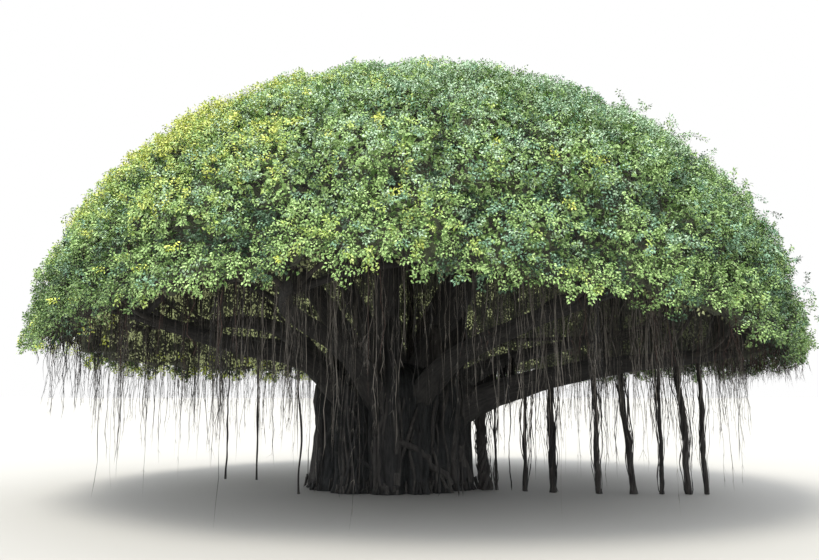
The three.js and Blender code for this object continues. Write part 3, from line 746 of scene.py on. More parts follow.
# %% Limb helper
def swept_limb(name, way, radii, sides, ribs, depth, lumps, seed, material, twist=0.6):
    """A closed limb along a way, ribbed and lumpy, blunt at both ends."""
    rng = np.random.default_rng(seed)
    rings = rings_along(way[None], radii[None], sides)[0]
    steps = np.concatenate([[0], np.cumsum(np.linalg.norm(np.diff(way, axis=0), axis=1))])
    turn = 2 * np.pi * np.arange(sides)[None] / sides
    at = steps[:, None]
    rib = np.abs(np.sin(0.5 * ribs * (turn + twist * at) + rng.uniform(0, 6))) ** 0.7
    lump = sum(np.sin(k * turn + w * at + rng.uniform(0, 6)) for k, w in ((1, 3.1), (2, 4.7), (3, 7.9))) / 3
    fine = np.sin(9 * turn + 2.1 * np.sin(3 * at) + rng.uniform(0, 6)) * np.sin(17 * at + 3 * turn)
    moved = radii[:, None] * (1 - depth + depth * 1.3 * rib + lumps * lump + 0.3 * lumps * fine)
    centre = way[:, None]
    grid = centre + (rings - centre) / radii[:, None, None] * moved[..., None]
    grid[..., 2] = np.maximum(grid[..., 2], 0)
    k, rows = np.arange(sides), len(way)
    ends = np.stack([k[::-1], k + (rows - 1) * sides])
    across = (k[None, :, None] + (0, 1, 1, 0)) * (2 * np.pi * radii.mean() / sides)
    up = steps[np.arange(rows - 1)[:, None, None] + (0, 0, 1, 1)]
    uv = np.stack(np.broadcast_arrays(across, up), -1).reshape(-1, 2)
    cap_uv = np.tile(np.stack([np.cos(turn[0]), np.sin(turn[0])], 1) * radii.mean(), (2, 1))
    faces = [ring_quads(sides, rows), ends]
    return smooth(mesh_piece(name, grid.reshape(-1, 3), faces, [material], uv=np.concatenate([uv, cap_uv])))


print("faces round a limb of three rings with six sides:", len(ring_quads(6, 3)))

# %% [markdown]
# ## Boughs
# Eight low boughs leave the head of the trunk and spread under the rim, five higher ones climb to the
# shoulder, and one goes up to the top. Each thins steadily to where it breaks up into the branches of
# its mass, and swells where it leaves the trunk. The long low one on the right carries the prop roots.

# %% Boughs
LOW_BOUGHS = {  # near and far points as distance out and height, the two radii and the sideways wander
    "right_front": ((1.9, 1.64), (3.4, 2.01), 0.25, 0.092, -5),
    "right_back": ((1.75, 1.9), (3.3, 2.35), 0.2, 0.075, 10),
    "back_right": ((1.7, 2.15), (3.2, 2.5), 0.19, 0.072, -8),
    "back_left": ((1.7, 1.95), (3.3, 2.3), 0.195, 0.072, 9),
    "left_back": ((1.88, 2.56), (3.0, 3.0), 0.215, 0.076, -7),
    "left_front": ((1.7, 2.15), (3.15, 2.4), 0.205, 0.074, 8),
    "front_left": ((1.65, 2.2), (3.2, 2.76), 0.19, 0.072, -9),
    "front_right": ((1.65, 2.1), (3.3, 2.64), 0.2, 0.074, 8),
}
HIGH_BOUGH = ((0.95, 2.75), (1.85, 3.85), 0.225, 0.08, 7)
LOW_START, HIGH_START = (0.65, 1.33), (0.43, 1.7)  # distance out and height
STARTS = {"right_front": (0.65, 1.1), "left_back": (0.8, 1.15)}  # boughs that leave lower
TIP_DEPTH = 1.2
LOW_TIP, HIGH_TIP = (8, TIP_DEPTH), (45, TIP_DEPTH)  # angle up the dome and depth
TIPS = {"right_front": (-12, 1.0)}  # the long low bough
BOUGH_POINTS = 90


def bough_points(name):
    """The points that a bough runs through and its two radii."""
    if name == "top":
        leader = [(0.04, 0, 1.75), (-0.06, 0.06, 3.3), (0.2, -0.04, 4.7), dome_point(0, 90, TIP_DEPTH)]
        return leader, 0.2, 0.085
    low = name in RIM_MASSES
    names, edges = (RIM_MASSES, RIM_EDGES) if low else (SHOULDER_MASSES, SHOULDER_EDGES)
    number = names.index(name)
    middle = (edges[number] + edges[number + 1]) / 2
    near, far, start_radius, end_radius, sway = LOW_BOUGHS.get(name, HIGH_BOUGH)
    start = STARTS.get(name, LOW_START if low else HIGH_START)
    tip = TIPS.get(name, LOW_TIP if low else HIGH_TIP)
    way = [polar(middle, *start), polar(middle + 0.6 * sway, *near), polar(middle + sway, *far),
           dome_point(middle, *tip)]
    return way, start_radius, end_radius


boughs = {}
for number, name in enumerate(MASSES):
    points, start_radius, end_radius = bough_points(name)
    shares = np.linspace(0, 1, BOUGH_POINTS)
    way = smooth_way(points, shares)
    boughs[name] = {"points": points, "way": way}
    radii = start_radius + (end_radius - start_radius) * shares
    radii = radii * (1 + 0.35 * np.exp(-((shares / 0.22) ** 2)))
    bough = swept_limb("bough_of_" + name, way, radii, sides=22, ribs=5, depth=0.12, lumps=0.09,
                       seed=300 + number, material=bough_bark)
    place(bough, "bark", "bough_" + name)
print("boughs:", len(boughs))

# %% [markdown]
# ## Prop roots
# Where a hanging root reaches the ground it thickens and holds the bough up. Thick ones are several roots
# wound round each other, so each prop is a core with two to five thinner roots that climb round it in
# slow turns, and short toes spread where it meets the ground. Beside those of the long low bough hang more
# roots, too thin yet to bear anything.

# %% Thin roots round a core
def wander(rng, count, points, size):
    """Small sideways drift along each path, in both level directions."""
    s = np.linspace(0, 1, points)
    drift = np.zeros((count, points, 3))
    for axis in (0, 1):
        for waves in (1.3, 3.1, 6.7):
            drift[..., axis] += (rng.normal(size=(count, 1)) / waves
                                 * np.sin(2 * np.pi * (waves * s[None] + rng.random((count, 1)))))
    return size * drift


def beside(way, off, turn):
    """Points level with those of an upright way, off to the side that turn in radians gives."""
    return way + np.stack([off * np.cos(turn), off * np.sin(turn), 0 * off], 1)


def wound_roots(way, radius, count, turns, seed):
    """Thin roots that climb round a core, as pointed tubes."""
    rng = np.random.default_rng(seed)
    height = np.linspace(0, 1, len(way))
    paths, radii = [], []
    for k in range(count):
        turn = 2 * np.pi * (k / count + turns * height * rng.uniform(0.6, 1.3) + 0.08 * rng.random())
        off = radius * (0.95 + 0.25 * np.sin(7 * height + 6 * rng.random()))
        paths.append(beside(way, off, turn))
        radii.append(radius.mean() * rng.uniform(0.28, 0.5) * (1 - 0.3 * height))
    return pointed_tubes(np.array(paths), np.array(radii), 5)


def roots_beside(way, radius, seed):
    """Thin wavy roots that hang beside a prop down to the ground, in and out of touch with it."""
    rng = np.random.default_rng(seed)
    count = 5 + int(90 * radius.mean())
    height = np.linspace(0, 1, len(way))
    paths = []
    for _ in range(count):
        off = radius.mean() + rng.uniform(0.01, 0.17) * height ** rng.uniform(0.5, 2)
        off = off + 0.016 * np.sin(rng.uniform(9, 25) * height + 6 * rng.random())
        turn = rng.uniform(0, 2 * np.pi) + 0.8 * np.sin(rng.uniform(2, 5) * height + 6 * rng.random())
        paths.append(beside(way, off, turn))
    thin = rng.uniform(0.003, 0.008, (count, 1))
    knots = 1 + 0.35 * rng.normal(size=(count, len(way))).clip(-1, 2)
    return pointed_tubes(np.array(paths), thin * knots, 4)


def toes(foot, radius, seed):
    """Short roots that run down from a foot and out along the ground."""
    rng = np.random.default_rng(seed)
    count = max(3, int(radius * 40))
    turn = 2 * np.pi * (np.arange(count) + 0.7 * rng.random(count)) / count
    reach = radius * rng.uniform(0.3, 0.8, count)
    share = np.linspace(0, 1, 5)
    out = 0.75 * radius + share[None] * reach[:, None]
    z = radius * 1.5 * (1 - share[None]) ** 1.8 * rng.uniform(0.7, 1.3, (count, 1)) + 0.008
    path = np.stack([foot[0] + out * np.cos(turn)[:, None], foot[1] + out * np.sin(turn)[:, None], z], -1)
    thick = np.maximum(radius * 0.2 * (1 - 0.75 * share[None]) * rng.uniform(0.7, 1.2, (count, 1)), 0.004)
    return pointed_tubes(path, thick, 4)


def root_cluster(name, parts, seed, tints):
    """A piece of many thin roots. The sides of the roots in one part get one tint, and so do their tips."""
    corners, faces = joined(parts)
    corners[:, 2] = np.maximum(corners[:, 2], 0.001)
    rng = np.random.default_rng(seed)
    dealt = np.concatenate([np.full(len(f), rng.choice(tints)) for f in faces])
    return smooth(mesh_piece(name, corners, faces, root_paints, tints=dealt))


print("thin root helpers:", [helper.__name__ for helper in (wound_roots, roots_beside, toes)])

# %% [markdown]
# Nine props stand under the long low bough on the right, as in the photograph, and three slender ones on
# the left. Each starts on its bough, so its place is given as a share of the bough's length, and its foot
# may be a little off to one side.

# %% Prop roots
PROPS = [("right_front", *prop) for prop in (  # share along the bough, radius, how far the foot is off
    (0.19, 0.088, 0.07), (0.24, 0.026, 0.02), (0.345, 0.032, -0.02), (0.43, 0.054, 0.015),
    (0.57, 0.038, 0.02), (0.65, 0.05, 0.16), (0.77, 0.03, -0.02), (0.83, 0.048, 0.11),
    (0.895, 0.036, 0.04))]
PROPS += [("left_back", 0.6, 0.024, 0.03), ("left_back", 0.72, 0.02, -0.04),
          ("left_front", 0.32, 0.022, 0.02)]
PROP_SPREAD = 1.2  # how much thicker a prop is at its foot
PROP_POINTS = 64
THIN_PROP = 0.03  # props thinner than this have a thinner core, as the wound roots make up more of them


def prop_way(top, lean, seed):
    """The way of a prop from its foot up to the bough, with a little sway."""
    x, y, z = top
    way = smooth_way([(x + lean, y, -0.04), (x + 0.7 * lean, y + 0.02, 0.3 * z),
                      (x + 0.2 * lean, y - 0.015, 0.7 * z), top], np.linspace(0, 1, PROP_POINTS))
    sway = wander(np.random.default_rng(seed), 1, PROP_POINTS, 0.016)[0]
    return way + sway * np.interp(way[:, 2:], (0, 0.5), (0.3, 1))


for number, (bough, share, radius, lean) in enumerate(PROPS):
    way = prop_way(smooth_way(boughs[bough]["points"], [share])[0], lean, 470 + number)
    swelling = 1 + 0.2 * np.exp(-((way[:, 2] / 0.08) ** 2))
    radii = radius * np.linspace(PROP_SPREAD, 1, PROP_POINTS) * swelling
    radii = radii * (0.6 if radius < THIN_PROP else 0.8)
    node_name = "prop_root_%02d" % (number + 1)
    core = swept_limb(node_name + "_core", way, radii, sides=14, ribs=4, depth=0.24, lumps=0.16,
                      seed=400 + number, material=prop_bark, twist=2.2)
    place(core, "root_bark", node_name)
    around = [wound_roots(way, radii, count=2 + int(radius * 40), turns=1.4, seed=420 + number),
              toes(way[0], radii[0], 440 + number)]
    if bough == "right_front":
        around.append(roots_beside(way[::3], radii[::3], 480 + number))
    place(root_cluster(node_name + "_winding", around, 460 + number, tints=(BROWN, DARK)), "root_bark")
print("prop roots:", len(PROPS))

# %% [markdown]
# ## Roots on and beside the trunk
# Thin roots hang from the boughs straight down to the ground. Close in they lie against the column and
# will one day be part of it, and further out they stand free. Others climb the column itself or cross it,
# and a screen of short ones hangs behind it. Each is one pointed tube whose way stays outside the trunk's
# skin, and its sides are one plain tint.

# %% Roots down to the trunk and up it
LOW_ROOTS = {"count": 4, "shares": (0.06, 0.3), "radii": (0.005, 0.012)}
HIGH_ROOTS = {"count": 13, "shares": (0.1, 0.4), "radii": (0.014, 0.1)}
CLIMBING_ROOTS = 110
HEAD_OF_TRUNK = 1.95  # above this height the boughs leave, and roots keep to their own way
TRUNK_ROOT_POINTS = 22


def outside_trunk(path, gap):
    """Moves each point of a path out to the trunk's skin where it would be inside it."""
    middle = TRUNK["lean"] * path[..., 2] / TRUNK["top"]
    turn = np.arctan2(path[..., 1], path[..., 0] - middle) % (2 * np.pi)
    skin = trunk_skin(turn, np.clip(path[..., 2], 0, TRUNK["top"]), gap)
    inside = np.linalg.norm(path[..., :2], axis=-1) < np.linalg.norm(skin[..., :2], axis=-1)
    inside &= path[..., 2] < HEAD_OF_TRUNK
    moved = path.copy()
    moved[..., :2] = np.where(inside[..., None], skin[..., :2], path[..., :2])
    return moved


def roots_from_boughs(rng):
    """Thin roots that hang from the near ends of the boughs down to the ground."""
    down = np.linspace(0, 1, TRUNK_ROOT_POINTS)
    parts = []
    for name in MASSES:
        kind = LOW_ROOTS if name in RIM_MASSES else HIGH_ROOTS
        count = kind["count"]
        share = rng.uniform(*kind["shares"], count)
        head = smooth_way(boughs[name]["points"], share) + rng.uniform(-0.16, 0.16, (count, 3)) * (1, 1, 0)
        path = np.repeat(head[:, None], TRUNK_ROOT_POINTS, 1)
        path[..., 2] = head[:, 2:] * (1 - down[None])
        path += wander(rng, count, TRUNK_ROOT_POINTS, 0.03)
        thin, thick = kind["radii"]
        radius = thin + (thick - thin) * rng.random((count, 1)) ** 1.7
        path, radii = outside_trunk(path, 0.012), radius * (1.0 + 0.3 * np.sin(9 * down[None]))
        parts += [pointed_tubes(path[i:i + 1], radii[i:i + 1], 5) for i in range(count)]
    return parts


def climbing_roots(rng):
    """Roots that lie on the column and wander up it."""
    down = np.linspace(0, 1, TRUNK_ROOT_POINTS)
    parts = []
    for _ in range(CLIMBING_ROOTS):
        turn = rng.uniform(0, 2 * np.pi)
        z = rng.uniform(0.9, 2.0) * (1 - down)
        swing = turn + 0.06 * rng.normal() * down + 0.03 * np.sin(7 * down + 6 * rng.random())
        path = trunk_skin(swing % (2 * np.pi), z, 0.02 + 0.015 * rng.random())
        radius = rng.uniform(0.008, 0.026) * (1 + 0.3 * np.sin(8 * down + 6 * rng.random()))
        parts.append(pointed_tubes(path[None, ::-1], radius[None], 6))
    return parts


rng = np.random.default_rng(31)
close_roots = roots_from_boughs(rng) + climbing_roots(rng)
print("roots against the trunk:", len(close_roots))

# %% [markdown]
# Four thicker roots cross the column slantwise at its front. The screen of short roots hangs from the bough
# at the back right, and a ring of toes runs out from the trunk's foot.

# %% Crossing roots, screen and toes
CROSSING = [  # turn in degrees and height at the upper end, the same at the lower end, radius
    ((288, 1.4), (266, 0.02), 0.034), ((262, 0.55), (272, 0.02), 0.022),
    ((300, 1.1), (309, 0.03), 0.028), ((243, 1.2), (236, 0.02), 0.03)]
SCREEN_POINTS = 9
TOES = 26


def crossing_roots(ways):
    """Thick roots that cross the column slantwise, from turns in degrees and heights at both ends."""
    down = np.linspace(0, 1, TRUNK_ROOT_POINTS)
    parts = []
    for (turn, z), (low_turn, low_z), radius in ways:
        swing = np.radians(turn + (low_turn - turn) * down**1.2)
        path = trunk_skin(swing % (2 * np.pi), z + (low_z - z) * down, 0.035)
        radii = radius * np.interp(down, (0, 0.15, 1), (0.4, 0.9, 1))
        parts.append(pointed_tubes(path[None], radii[None], 7))
    return parts


def root_screen(bough, shares, drop, count, seed):
    """Many roots close together that hang a short way from a bough."""
    rng = np.random.default_rng(seed)
    head = smooth_way(boughs[bough]["points"], rng.uniform(*shares, count))
    head += rng.normal(size=(count, 3)) * (0.1, 0.1, 0.02)
    down = np.linspace(0, 1, SCREEN_POINTS)
    path = np.repeat(head[:, None], SCREEN_POINTS, 1)
    path[..., 2] -= rng.uniform(*drop, (count, 1)) * down
    path += wander(rng, count, SCREEN_POINTS, 0.02)
    radii = rng.uniform(0.006, 0.016, (count, 1)) * np.interp(down, (0, 1), (1, 0.6))
    return pointed_tubes(path, radii, 4)


close_roots += crossing_roots(CROSSING)
close_roots.append(root_screen("right_back", shares=(0.12, 0.55), drop=(0.5, 1.0), count=230, seed=34))
place(root_cluster("roots_on_trunk", close_roots, 32, tints=(BROWN, BROWN, DARK, DARK)), "root_bark")
feet = trunk_skin(np.linspace(0, 2 * np.pi, TOES, endpoint=False), np.zeros(TOES), -0.06)
toe_parts = [toes(foot, 0.11, 50 + i) for i, foot in enumerate(feet)]
place(root_cluster("trunk_toes", toe_parts, 33, tints=(BROWN, DARK)), "root_bark")
print("parts of roots_on_trunk:", len(close_roots), "toes:", len(toe_parts))

# %% [markdown]
# ## Branches and twigs
# From the last third of each bough, branches fan out to places spread under its own mass, twigs go on
# from those, and each ends in sprays. The places come first, those of the twigs closer together and nearer
# the clipped surface than those of the branches.

# %% Where branches and twigs end
BRANCH = {"spacing": 1.2, "depth": 0.85, "lift": 0.3, "radius": 0.05}
TWIG = {"spacing": 0.46, "depth": 0.44, "lift": 0.12, "radius": 0.017}


def level(kind, seed):
    """The places that one level of branching reaches, and the mass of each."""
    azimuth, angle = sites(kind["spacing"], kind["depth"], seed, kind["lift"])
    return {"mass": mass_of(azimuth, angle), "at": dome_point(azimuth, angle, kind["depth"]),
            "azimuth": azimuth, "angle": angle}


branches = level(BRANCH, 61)
twig_ends = level(TWIG, 62)
print("ends of branches:", len(branches["at"]), "of twigs:", len(twig_ends["at"]))

# %% [markdown]
# Each place is then joined to the level before it in the same mass: a branch's end to the end part of the
# bough, a twig's end to the nearest branch. So a mass of the rim keeps to its own space. All of them leave
# along the wood they grow from and bend off it, and are pointed tubes.

# %% Branches and twigs
BRANCH_POINTS, TWIG_POINTS = 11, 6


def bent_paths(start, leaving, end, points):
    """Curves from each start, leaving along a direction, to each end."""
    reach = np.linalg.norm(end - start, axis=1, keepdims=True)
    bend = start + leaving * 0.45 * reach
    s = np.linspace(0, 1, points)[None, :, None]
    return (1 - s) ** 2 * start[:, None] + 2 * s * (1 - s) * bend[:, None] + s**2 * end[:, None]


def branch_paths(seed):
    """Each branch's path from the end part of its mass's bough."""
    rng = np.random.default_rng(seed)
    share = rng.uniform(0.68, 0.99, len(branches["at"]))
    start, leaving = np.zeros((2, len(share), 3))
    for number, name in enumerate(MASSES):
        mine = branches["mass"] == number
        way = boughs[name]["way"]
        spot = (share[mine] * (len(way) - 2)).astype(int)
        start[mine], leaving[mine] = way[spot], unit(way[spot + 1] - way[spot])
    path = bent_paths(start, leaving, branches["at"], BRANCH_POINTS)
    sway = wander(rng, len(path), BRANCH_POINTS, 0.035)
    return path + sway * np.linspace(0, 1, BRANCH_POINTS)[None, :, None]


def twig_paths(branch_path, seed):
    """Each twig's path from the nearest branch of the same mass."""
    rng = np.random.default_rng(seed)
    count = len(twig_ends["at"])
    start, leaving = np.zeros((2, count, 3))
    for number in range(len(MASSES)):
        mine = np.flatnonzero(twig_ends["mass"] == number)
        own = np.flatnonzero(branches["mass"] == number)
        _, near = nearest(twig_ends["at"][mine], branches["at"][own], 1)
        chosen = own[near[:, 0]]
        spot = rng.integers(6, BRANCH_POINTS - 1, len(mine))
        start[mine] = branch_path[chosen, spot]
        leaving[mine] = unit(start[mine] - branch_path[chosen, spot - 1])
    path = bent_paths(start, leaving, twig_ends["at"], TWIG_POINTS)
    return path + wander(rng, count, TWIG_POINTS, 0.012)


def tapered(radius, tip_share, paths):
    """Radii that fall evenly along each path to a share of the first."""
    count, points = paths.shape[:2]
    return radius * np.linspace(1, tip_share, points)[None] * np.ones((count, 1))


branch_path = branch_paths(63)
twig_path = twig_paths(branch_path, 64)
branch_radius = tapered(BRANCH["radius"], 0.3, branch_path)
twig_radius = tapered(TWIG["radius"], 0.35, twig_path)
print("points of a branch's path:", branch_path.shape[1], "of a twig's:", twig_path.shape[1])

# %% [markdown]
# ## Sprays of leaves
# A spray is a short stem with leaves set round it, each turned by the golden angle from the last. The
# leaves lie with their faces outward and upward to the light, and their tips droop a little. Each leaf is
# two halves folded at the rib in its own pointed outline, only two triangles, so that there can be half
# a million.

# %% Leaves of a spray
OUTLINE = np.array([(0, 0, 0), (0.4, 0.5, 0.1), (1, 0, -0.1), (0.4, -0.5, 0.1)])
OUTER_LEAF = {"length": 0.041, "width": 0.6, "count": 24, "spacing": 0.114, "stem": 0.26}
MIDDLE_LEAF = {"length": 0.11, "width": 0.64, "count": 11, "spacing": 0.185, "stem": 0.28}
INNER_LEAF = {"length": 0.07, "width": 0.58, "count": 10, "spacing": 0.15, "stem": 0.3}
GOLDEN = math.radians(137.5)
DROOP, FACE_UP = 0.28, 0.42  # how much tips hang and faces look up, against one for straight out


def leaf_layer(leaf, tips, growing, facing, sizes, seed):
    """Corners and faces of the leaves of many sprays, leaf by leaf. sizes scales each spray's leaves."""
    rng = np.random.default_rng(seed)
    count = leaf["count"]
    spin = rng.uniform(0, 2 * np.pi, (len(tips), 1)) + GOLDEN * np.arange(count)[None]
    along_stem = np.linspace(0.25, 1, count)[None] + 0.08 * (rng.random((len(tips), count)) - 0.5)
    side = unit(np.cross(growing, rng.normal(size=growing.shape)))
    other = np.cross(growing, side)
    spoke = side[:, None] * np.cos(spin)[..., None] + other[:, None] * np.sin(spin)[..., None]
    root = tips[:, None] - growing[:, None] * (leaf["stem"] * (1 - along_stem))[..., None]
    root = root + spoke * leaf["length"] * rng.uniform(0.05, 0.8, spin.shape)[..., None]
    spread = np.interp(along_stem, (0.2, 1), (1.0, 0.55))[..., None]
    axis = unit(spoke * spread + growing[:, None] * 0.5 + facing[:, None] * 0.15 + (0, 0, -DROOP)
                + 0.3 * rng.normal(size=spoke.shape))
    lean = facing[:, None] + (0, 0, FACE_UP) + 0.5 * rng.normal(size=axis.shape)
    normal = unit(lean - axis * np.sum(lean * axis, -1, keepdims=True))
    across = np.cross(normal, axis)
    size = leaf["length"] * sizes[:, None] * rng.uniform(0.72, 1.18, (len(tips), count))
    shape = OUTLINE * (1, leaf["width"], 1)
    offset = (axis[:, :, None] * shape[:, :1] + across[:, :, None] * shape[:, 1:2]
              + normal[:, :, None] * shape[:, 2:])
    corners = root[:, :, None] + size[..., None, None] * offset
    return corners.reshape(-1, 3), 4 * np.arange(len(tips) * count)[:, None] + (0, 3, 2, 1)


print("triangles in a spray:", [2 * leaf["count"] for leaf in (OUTER_LEAF, MIDDLE_LEAF, INNER_LEAF)])

# %% [markdown]
# Each spray is one plain tint, and the tints paint light and shade on. A score says how sunny its place is:
# high on the left side, which is called young and gets painted sunlight, and low where shade is painted, in
# the creases, near the rim and in one shaded corner low at the left. The score picks one of four greens.
# Chance then makes some sprays silvery, a painted sheen of the sky, most often near the top, and others
# bluish, most often in the bluer lobes, and those that lie deepest in a crease are dark pockets of painted
# shadow.

# %% Tints of the sprays
SUNLIT_BAND = ((-0.88, -0.58, -0.4, 0.2), (0, 1, 1, 0))  # how far back a spray faces, how much painted sunlight it gets
# A corner low at the left where shade is painted.
SHADED_CORNER = {"azimuth": 212, "angle": 4, "wide": 22, "high": 9}  # in degrees
SUNLIT_FROM, FRESH_FROM, MID_FROM = 0.27, 0.04, -0.36  # scores
SILVER_SCORES = (-0.4, 0.22)  # only sprays with scores between these get the silvery painted sheen, and none above is bluish
POCKET_FROM = 0.8  # how deep in a crease a spray has to be to lie in a pocket of painted shadow


def spray_tints(azimuth, angle, tips, crease, seed):
    """The tint of each spray of the outer layer."""
    rng = np.random.default_rng(seed)
    x, y, _ = outward(tips).T
    # young is how far a spray faces the left side, where yellow sunlight is painted on.
    young = np.interp(y, *SUNLIT_BAND) * np.clip(-2.4 * x, -0.4, 1)
    _, lobe = nearest(squeezed(dome_point(azimuth, angle, 0)), squeezed(lobes), 1)
    of_lobe = np.random.default_rng(seed + 1).normal(size=len(lobes))[lobe[:, 0]]
    # The score rises with that painted sunlight and falls in the creases, where shade is painted.
    score = 0.56 * young - 0.04 + 0.09 * of_lobe + 0.19 * rng.normal(size=len(tips)) - 0.34 * crease
    # It falls further where shade is painted, in a corner low at the left and near the rim.
    from_corner = np.hypot((azimuth - SHADED_CORNER["azimuth"]) / SHADED_CORNER["wide"],
                           (angle - SHADED_CORNER["angle"]) / SHADED_CORNER["high"])
    near_rim = (0.06 + 0.24 * np.abs(x)) * np.exp(-((angle / 18) ** 2))
    score = score - 1.5 * np.exp(-(from_corner**2)) - near_rim
    reached = [score > least for least in (SUNLIT_FROM, FRESH_FROM, MID_FROM)]
    tints = np.select(reached, [SUNLIT, FRESH, MID], DEEP)
    # Silvery sprays are a painted sheen of the sky, most of them near the top.
    least, most = SILVER_SCORES
    silvery = rng.random(len(tips)) < 0.04 + (0.7 - 0.55 * young) * np.clip((angle - 10) / 34, 0, 1)
    blue_share = np.where(of_lobe < -0.5, 0.34, 0.12) * np.clip(angle / 14, 0, 1) * (1 - 0.7 * young)
    bluish = rng.random(len(tips)) < blue_share
    # Sprays deep in a crease take the near-black tint of painted shadow.
    pocket = crease + 0.2 * rng.normal(size=len(tips)) > POCKET_FROM + np.clip((angle - 15) / 100, 0, 0.3)
    return np.select([pocket, silvery & (score < most) & (score > least), bluish & (score < most)],
                     [SHADOW_POCKET, SKY_SHEEN, BLUE], tints)


print("tints to deal:", list(LEAF_TINTS))

# %% [markdown]
# A spray grows from the nearest twig's end, a little towards the light and otherwise by chance, and near
# the rim it droops. Low at the back left some sprays glow, with the light behind them.

# %% Growing sprays
RIM_BAND = 7  # degrees above the rim in which sprays droop and leaves may shrink
GLOW = {"azimuth": 140, "width": 50, "share": 0.6}  # low at the back left


def grow_sprays(azimuth, angle, depth, seed, shrink=0.0):
    """Tips, growing directions, stems and leaf sizes of one layer of sprays. shrink acts at the rim."""
    rng = np.random.default_rng(seed)
    tips = dome_point(azimuth, angle, depth)
    _, near = nearest(tips, twig_ends["at"], 1)
    start = twig_ends["at"][near[:, 0]]
    facing = outward(tips)
    growing = unit(unit(tips - start) * 0.3 + 0.6 * rng.normal(size=tips.shape))
    growing = growing + facing * np.maximum(0.3 - np.sum(growing * facing, -1, keepdims=True), 0)
    rim = rim_angle(azimuth)
    low = np.clip((rim + RIM_BAND - angle) / RIM_BAND, 0, 1)[:, None]
    growing = unit(growing + low * (0, 0, -0.8))
    return {"tips": tips, "growing": growing, "facing": facing, "start": start,
            "mass": mass_of(azimuth, angle),
            "size": 1 - shrink * np.exp(-(((angle - rim) / RIM_BAND) ** 2))}


def glowing(azimuth, angle, share, reach, rng):
    """Which sprays low at the back left glow. reach is how far above the rim, in degrees."""
    at_back = np.exp(-(((azimuth - GLOW["azimuth"]) / GLOW["width"]) ** 2))
    above = angle - rim_angle(azimuth)
    return rng.random(len(azimuth)) < share * at_back * np.clip(2 - 2 * above / reach, 0, 1)


print("sprays droop within", RIM_BAND, "degrees of the rim")

# %% [markdown]
# There are three layers of sprays. Those of the outer layer end at the clipped surface. Under them a second
# layer fills between their stems, and a third hangs on the inner side of the low parts, where one looks in.
# The third lies under the tangle of twigs, so the tangle's measures are given here.

# %% Layers of sprays
TANGLE = {"depth": 0.46, "thickness": 0.12, "crumple": 0.05, "lift": (0.14, 0.4), "around": 260, "rows": 60}
ASTRAY = {"share": 0.025, "below": 55, "out": (0.03, 0.1)}  # sprigs on the right that stand out a little
WITHIN_BELOW = 42  # degrees, up to which sprays hang on the inner side
RIGHT_GAP = {"azimuth": 5, "half": 40, "kept": 0.25}  # fewer of them on the right, where light comes in


def outer_sprays(rng):
    azimuth, angle = sites(OUTER_LEAF["spacing"], depth=0.1, seed=71)
    depth, crease = billow(azimuth, angle)
    depth = np.maximum(depth + 0.035 * rng.normal(size=len(depth)), -0.05)
    astray = (rng.random(len(depth)) < ASTRAY["share"]) & (angle < ASTRAY["below"])
    astray &= np.cos(np.radians(azimuth)) > 0
    depth = np.where(astray, -rng.uniform(*ASTRAY["out"], len(depth)), depth)
    sprays = grow_sprays(azimuth, angle, depth, seed=73)
    tints = spray_tints(azimuth, angle, sprays["tips"], crease, seed=74)
    sprays["tint"] = np.where(glowing(azimuth, angle, GLOW["share"], 14, rng), BACKLIT, tints)
    return sprays


def under_sprays(rng):
    azimuth, angle = sites(MIDDLE_LEAF["spacing"], depth=0.3, seed=75, lift=0.16)
    depth, crease = billow(azimuth, angle)
    depth = depth + rng.uniform(0.15, 0.3, len(depth))
    sprays = grow_sprays(azimuth, angle, depth, seed=76, shrink=0.45)
    # Painted shade: the middle layer is deep green more often low down, and pockets of painted shadow lie
    # in its creases.
    tints = np.where(rng.random(len(depth)) < np.interp(angle, (12, 25), (0.1, 0.7)), MID, DEEP)
    pocket = crease + 0.1 * rng.normal(size=len(depth)) > 0.5 + np.clip(angle / 80, 0, 0.5)
    tints = np.where(pocket, SHADOW_POCKET, tints)
    sprays["tint"] = np.where(glowing(azimuth, angle, GLOW["share"], 10, rng), BACKLIT, tints)
    return sprays


def sprays_within(rng):
    azimuth, angle = sites(INNER_LEAF["spacing"], depth=0.7, seed=81, lift=0.12)
    at_front = np.clip(-1.5 * np.sin(np.radians(azimuth)), 0, 1)
    clear = angle > rim_angle(azimuth, 0.12 + 0.4 * at_front)
    azimuth, angle = azimuth[clear], angle[clear]
    on_right = np.abs(round_from(azimuth, RIGHT_GAP["azimuth"])) < RIGHT_GAP["half"]
    kept = (angle < WITHIN_BELOW) & (rng.random(len(azimuth)) < np.where(on_right, RIGHT_GAP["kept"], 1))
    azimuth, angle, on_right = azimuth[kept], angle[kept], on_right[kept]
    tangle_depth = billow(azimuth, angle)[0] + TANGLE["depth"] + TANGLE["thickness"]
    depth = tangle_depth + rng.uniform(0.02, 0.35, len(azimuth))
    sprays = grow_sprays(azimuth, angle, depth, seed=83)
    sprays["facing"] = -sprays["facing"]
    sprays["growing"] = unit(sprays["growing"] + 0.7 * sprays["facing"])
    # Inner leaves at the back left, and a few elsewhere except on the right, take the lit speck tint: light
    # from behind painted on as a glow.
    speckled = glowing(azimuth, angle, 2 * GLOW["share"], 60, rng)
    speckled = speckled | (rng.random(len(azimuth)) < 0.08) & ~on_right
    tints = np.where(speckled, LIT_SPECK, INNER)
    sprays["tint"] = np.where(glowing(azimuth, angle, GLOW["share"], 12, rng), BACKLIT, tints)
    return sprays


layers = [(grow(np.random.default_rng(seed)), leaf) for grow, seed, leaf in (
    (outer_sprays, 72, OUTER_LEAF), (under_sprays, 77, MIDDLE_LEAF), (sprays_within, 82, INNER_LEAF))]
print("sprays in each layer:", [len(sprays["tips"]) for sprays, _ in layers])

# %% [markdown]
# Each mass now becomes two pieces that stand for its solid: its leaves, which carry all the leaf tints
# as slots, and its wood, which is branches, twigs and the stems of the sprays.

# %% Masses of foliage
STEM_RADII = (0.006, 0.0035)

